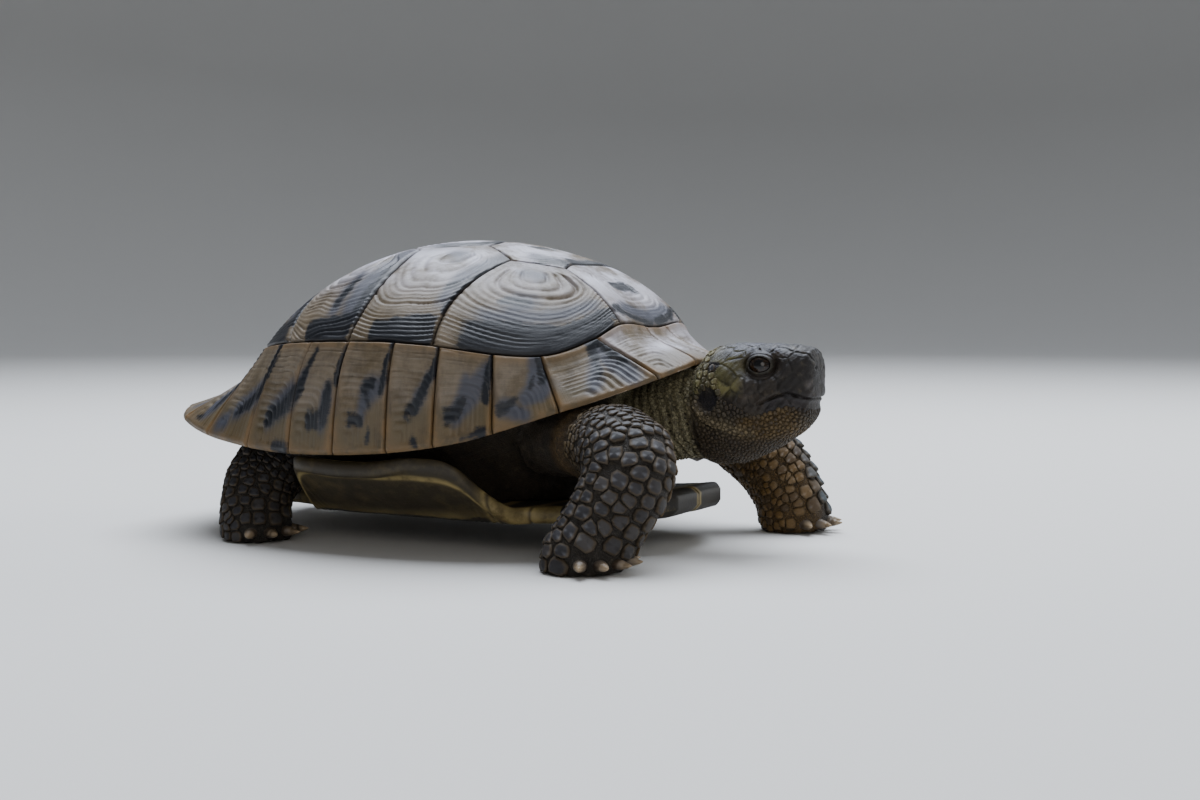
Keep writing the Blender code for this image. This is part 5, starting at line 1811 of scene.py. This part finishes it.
def plastron(shift, material):
    """The belly shell with its seams, black bands and yellow edges."""
    stations, columns = 260, 190
    mesh = grid_slab(stations, columns)
    square = points_of(mesh)
    top = square[:, 2] > 0.5
    rear, front = PLASTRON_OUTLINE[0][0], PLASTRON_OUTLINE[-1][0]
    steps = np.linspace(0, 1, stations + 1)
    column_x = rear + (front - rear) * steps
    half_widths, bridge_tops = (
        np.interp(square[:, 0], steps, [curve_through(table, at) for at in column_x])
        for table in (PLASTRON_OUTLINE, BRIDGE_TOP)
    )
    x = rear + (front - rear) * square[:, 0]
    y = 2 * (square[:, 1] - 0.5) * half_widths
    x = x + ANAL_NOTCH * np.maximum(0, 1 - np.abs(y) / 9) * np.maximum(0, 1 - (x - rear) / 14)
    side = np.abs(y)
    frontness = np.maximum(0, (x - 40) / 38)
    share = np.clip((side - BRIDGE_START) / (BRIDGE_END - BRIDGE_START), 0, 1)
    low = PLASTRON_FLOOR + (bridge_tops - PLASTRON_THICKNESS - PLASTRON_FLOOR) * share**1.4
    low = low + GULAR_LIFT * frontness**2
    high = low + PLASTRON_THICKNESS + GULAR_SWELLING * frontness**2
    from_edge = np.minimum(half_widths - side, np.minimum(x - rear, front - x))
    seam_gap = np.full(len(x), 9.0)
    for at, forward in PLASTRON_SEAMS:
        seam_gap = np.minimum(seam_gap, np.abs(x - at - forward * (side / 45) ** 1.5))
    middle = np.abs(y - 0.5 * ripple(81, x / 20, 0 * x))
    seam_gap = np.minimum(seam_gap, middle)
    round_over = 1.6 + 1.6 * np.minimum(frontness, 1)
    soft_edge = 0.69 * round_over * np.maximum(0, 1 - from_edge / round_over) ** 2
    lines = 0.10 * np.sin(seam_gap * 3.4 + 0.6 * ripple(82, x / 12, y / 12)) * (seam_gap > 0.6)
    lines = lines * soft(seam_gap, 8.5, 5.0) * soft(from_edge, 1.5, 4.0)
    inward = 0.45 * bell(seam_gap, 0.35) + lines + 0.12 * ripple(83, x / 9, y / 9)
    outer = np.where(top & (x < 52), 0.0, inward)
    upper = high - soft_edge - np.maximum(outer, -0.05) * soft(x, 50, 56)
    lower = low + soft_edge * 0.9 + np.maximum(outer, -0.02) + 0.05
    z = np.where(top, upper, lower)
    patch_edge = 3.2 + 1.1 * ripple(84, x / 14, y / 14)
    inside = np.minimum(middle - 3.0, np.minimum(half_widths - side, BRIDGE_START + 6 - side) - patch_edge)
    inside = np.minimum(inside, seam_gap - 0.9 - 0.7 * ripple(85, x / 10, y / 10) ** 2)
    front_black = np.minimum(side - 0.8, np.minimum(seam_gap - 0.8, from_edge + np.where(top, 1.5, 0.6)))
    front_black = np.where(x > 54, front_black, -9.0)
    bridge = soft(side, BRIDGE_START + 3, BRIDGE_START + 8) * soft(np.abs(x - 8), 34, 28)
    keel = bridge * bell(from_edge - 2.2, 0.55)
    rim = bell(from_edge, 1.2) * (1 - bridge) * ~top * (x < 55)
    set_points(mesh, (np.stack([x, y, z], 1) + shift) * MM)
    for field, values in {
        "dark": np.maximum(inside, front_black),
        "bridge": bridge * (1 - keel),
        "seam": bell(seam_gap, 0.30),
        "edge": np.clip(bell(seam_gap - 0.7, 0.6) + rim + keel, 0, 1),
    }.items():
        set_field(mesh, field, values)
    turned_out(mesh)
    piece("belly_shell", mesh, material, "plastron_horn", "plastron")


def plastron_horn():
    """Olive-yellow horn with black bands on either side of the midline, and a dark bridge with painted shade.
    """
    finish = Finish("plastron_horn", IOR=1.38, Coat_Roughness=0.35, Coat_Weight=0.03)
    dark, bridge, seam, edge = (finish.field(name) for name in ("dark", "bridge", "seam", "edge"))
    mottle = finish.noise(240.0, 5.0, roughness=0.65)
    cloud = finish.noise(70.0, 3.0)
    grain = finish.noise(2200.0, 3.0)
    tone = finish.step(mottle * 0.6 + cloud * 0.4, 0.38, 0.66)
    horn = finish.blend(tone, (0.075, 0.054, 0.020), (0.19, 0.145, 0.058))
    black = finish.step(dark * 0.35 + (mottle - 0.5) * 1.6, -0.12, 0.22)
    cover = black * 0.95
    ink = finish.blend(mottle, (0.004, 0.004, 0.005), (0.014, 0.011, 0.008))
    horn = finish.blend(cover, horn, ink)
    # Painted shade, mottled, over the bridge, drawn towards a dark olive.
    shaded = bridge * finish.step(mottle + cloud * 0.4, 0.40, 0.75) * 0.6 + bridge * 0.38
    horn = finish.blend(shaded, horn, (0.018, 0.013, 0.006))
    horn = finish.blend(edge * finish.step(mottle, 0.30, 0.6) * 0.8, horn, (0.25, 0.19, 0.075))
    horn = finish.blend(seam * 0.85, horn, SEAM_DIRT)
    finish.colour(horn)
    finish.rough(0.52 + (grain - 0.5) * 0.25 + (mottle - 0.5) * 0.2)
    finish.bump(mottle * 0.6 + grain * 0.3, 0.12)
    return finish.material


# ---------------------------------------------------------------- the model, its floor, lights and camera


def shell_shift():
    """From the shell's own frame to the model's: forwards by the nuchal plate, sideways by two plates."""
    place = nuchal_place()
    gap = SEAM_GAP / 2 / np.linalg.norm(carapace(place(0.5, 1.0)) - carapace(place(0.5, 0.0)))
    front = carapace(place(np.array([0.5]), np.array([gap])))[0, 0]
    left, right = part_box("marginal_left_7")[1].y / MM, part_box("marginal_right_7")[0].y / MM
    return np.array([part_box("nuchal")[1].x / MM - front, (left + right) / 2, 0.0])


def plain_surface(name, colour, roughness):
    """An even, very slightly cloudy surface."""
    finish = Finish(name, IOR=1.45)
    cloud = finish.noise(9.0, 2.0)
    finish.colour(finish.blend(cloud, tuple(c * 0.985 for c in colour), colour))
    finish.rough(roughness)
    return finish.material


FLOOR_RADIUS, WALL_CURVE, WALL_TOP = 1.7, 0.9, 2.6


def floor():
    """A pale floor that turns up all round into a low wall, so that no edge shows behind the model."""
    bm = bmesh.new()
    profile = [(0.0, 0.0), (FLOOR_RADIUS * 0.5, 0.0), (FLOOR_RADIUS, 0.0)]
    for i in range(1, 13):
        turn = radians(90 * i / 12)
        profile.append((FLOOR_RADIUS + WALL_CURVE * sin(turn), WALL_CURVE * (1 - cos(turn))))
    profile.append((FLOOR_RADIUS + WALL_CURVE, WALL_TOP))
    chain = [bm.verts.new((x, 0.0, z)) for x, z in profile]
    edges = [bm.edges.new(pair) for pair in zip(chain, chain[1:])]
    about = {"axis": (0, 0, 1), "cent": (0, 0, 0), "angle": 2 * pi}
    bmesh.ops.spin(bm, geom=chain + edges, steps=72, use_merge=True, **about)
    bmesh.ops.remove_doubles(bm, verts=bm.verts[:], dist=1e-5)
    mesh = mesh_of(bm, "floor")
    mesh.materials.append(plain_surface("pale_floor", (0.60, 0.59, 0.57), 0.85))
    mesh.polygons.foreach_set("use_smooth", np.ones(len(mesh.polygons), bool))
    obj = bpy.data.objects.new("floor", mesh)
    bpy.context.scene.collection.objects.link(obj)


def lamp(name, place, target, size, power, colour):
    """A soft round light that faces its target."""
    light = bpy.data.lights.new(name, "AREA")
    light.shape, light.size, light.energy, light.color = "DISK", size, power, colour
    obj = bpy.data.objects.new(name, light)
    obj.location = place
    obj.rotation_euler = (Vector(target) - Vector(place)).to_track_quat("-Z", "Y").to_euler()
    obj.visible_camera = False
    bpy.context.scene.collection.objects.link(obj)


def lights():
    """A large cool panel overhead, two weak ones at the sides, and an even grey surround."""
    lamp("sky_panel", (-0.10, 0.30, 1.05), (0, 0, 0.04), 1.2, 36.0, (0.84, 0.90, 1.0))
    lamp("side_fill", (0.75, -0.85, 0.40), (0, 0, 0.04), 0.7, 3.2, (1.0, 0.95, 0.88))
    lamp("back_edge", (0.65, 0.75, 0.35), (0.02, 0, 0.05), 0.5, 3.0, (0.95, 0.98, 1.0))
    world = bpy.data.worlds.new("studio")
    world.use_nodes = True
    world.node_tree.nodes["Background"].inputs["Color"].default_value = (0.80, 0.86, 0.95, 1)
    world.node_tree.nodes["Background"].inputs["Strength"].default_value = 0.30
    bpy.context.scene.world = world


def camera():
    """Low beside the animal's right shoulder, looking across it towards the left flank."""
    data = bpy.data.cameras.new("camera")
    data.lens, data.sensor_width, data.clip_start, data.clip_end = 50.0, 36.0, 0.01, 30.0
    obj = bpy.data.objects.new("camera", data)
    azimuth, dip = radians(30.0), radians(3.433)
    ahead = Vector((-sin(azimuth) * cos(dip), cos(azimuth) * cos(dip), -sin(dip)))
    obj.location = Vector((0.26814, -0.40576, 0.068))
    obj.rotation_euler = ahead.to_track_quat("-Z", "Y").to_euler()
    bpy.context.scene.collection.objects.link(obj)
    bpy.context.scene.camera = obj


def build():
    """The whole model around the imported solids, with its floor, lights and camera."""
    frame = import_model()
    shift = shell_shift()
    horn = plate_horn()
    for name, place in all_places().items():
        shell_plate(name, place, shift, horn)
    plastron(shift, plastron_horn())
    obj, points, normals, found = skin(frame["nodes"], shift, scaly_skin())
    coat(points, normals, found, obj.data, shift, scale_horn())
    claws(shift, claw_horn())
    wet = wet_eye()
    for side_name, sign in (("left", 1), ("right", -1)):
        eye(side_name, sign, shift, wet)
    floor()
    lights()
    camera()


build()
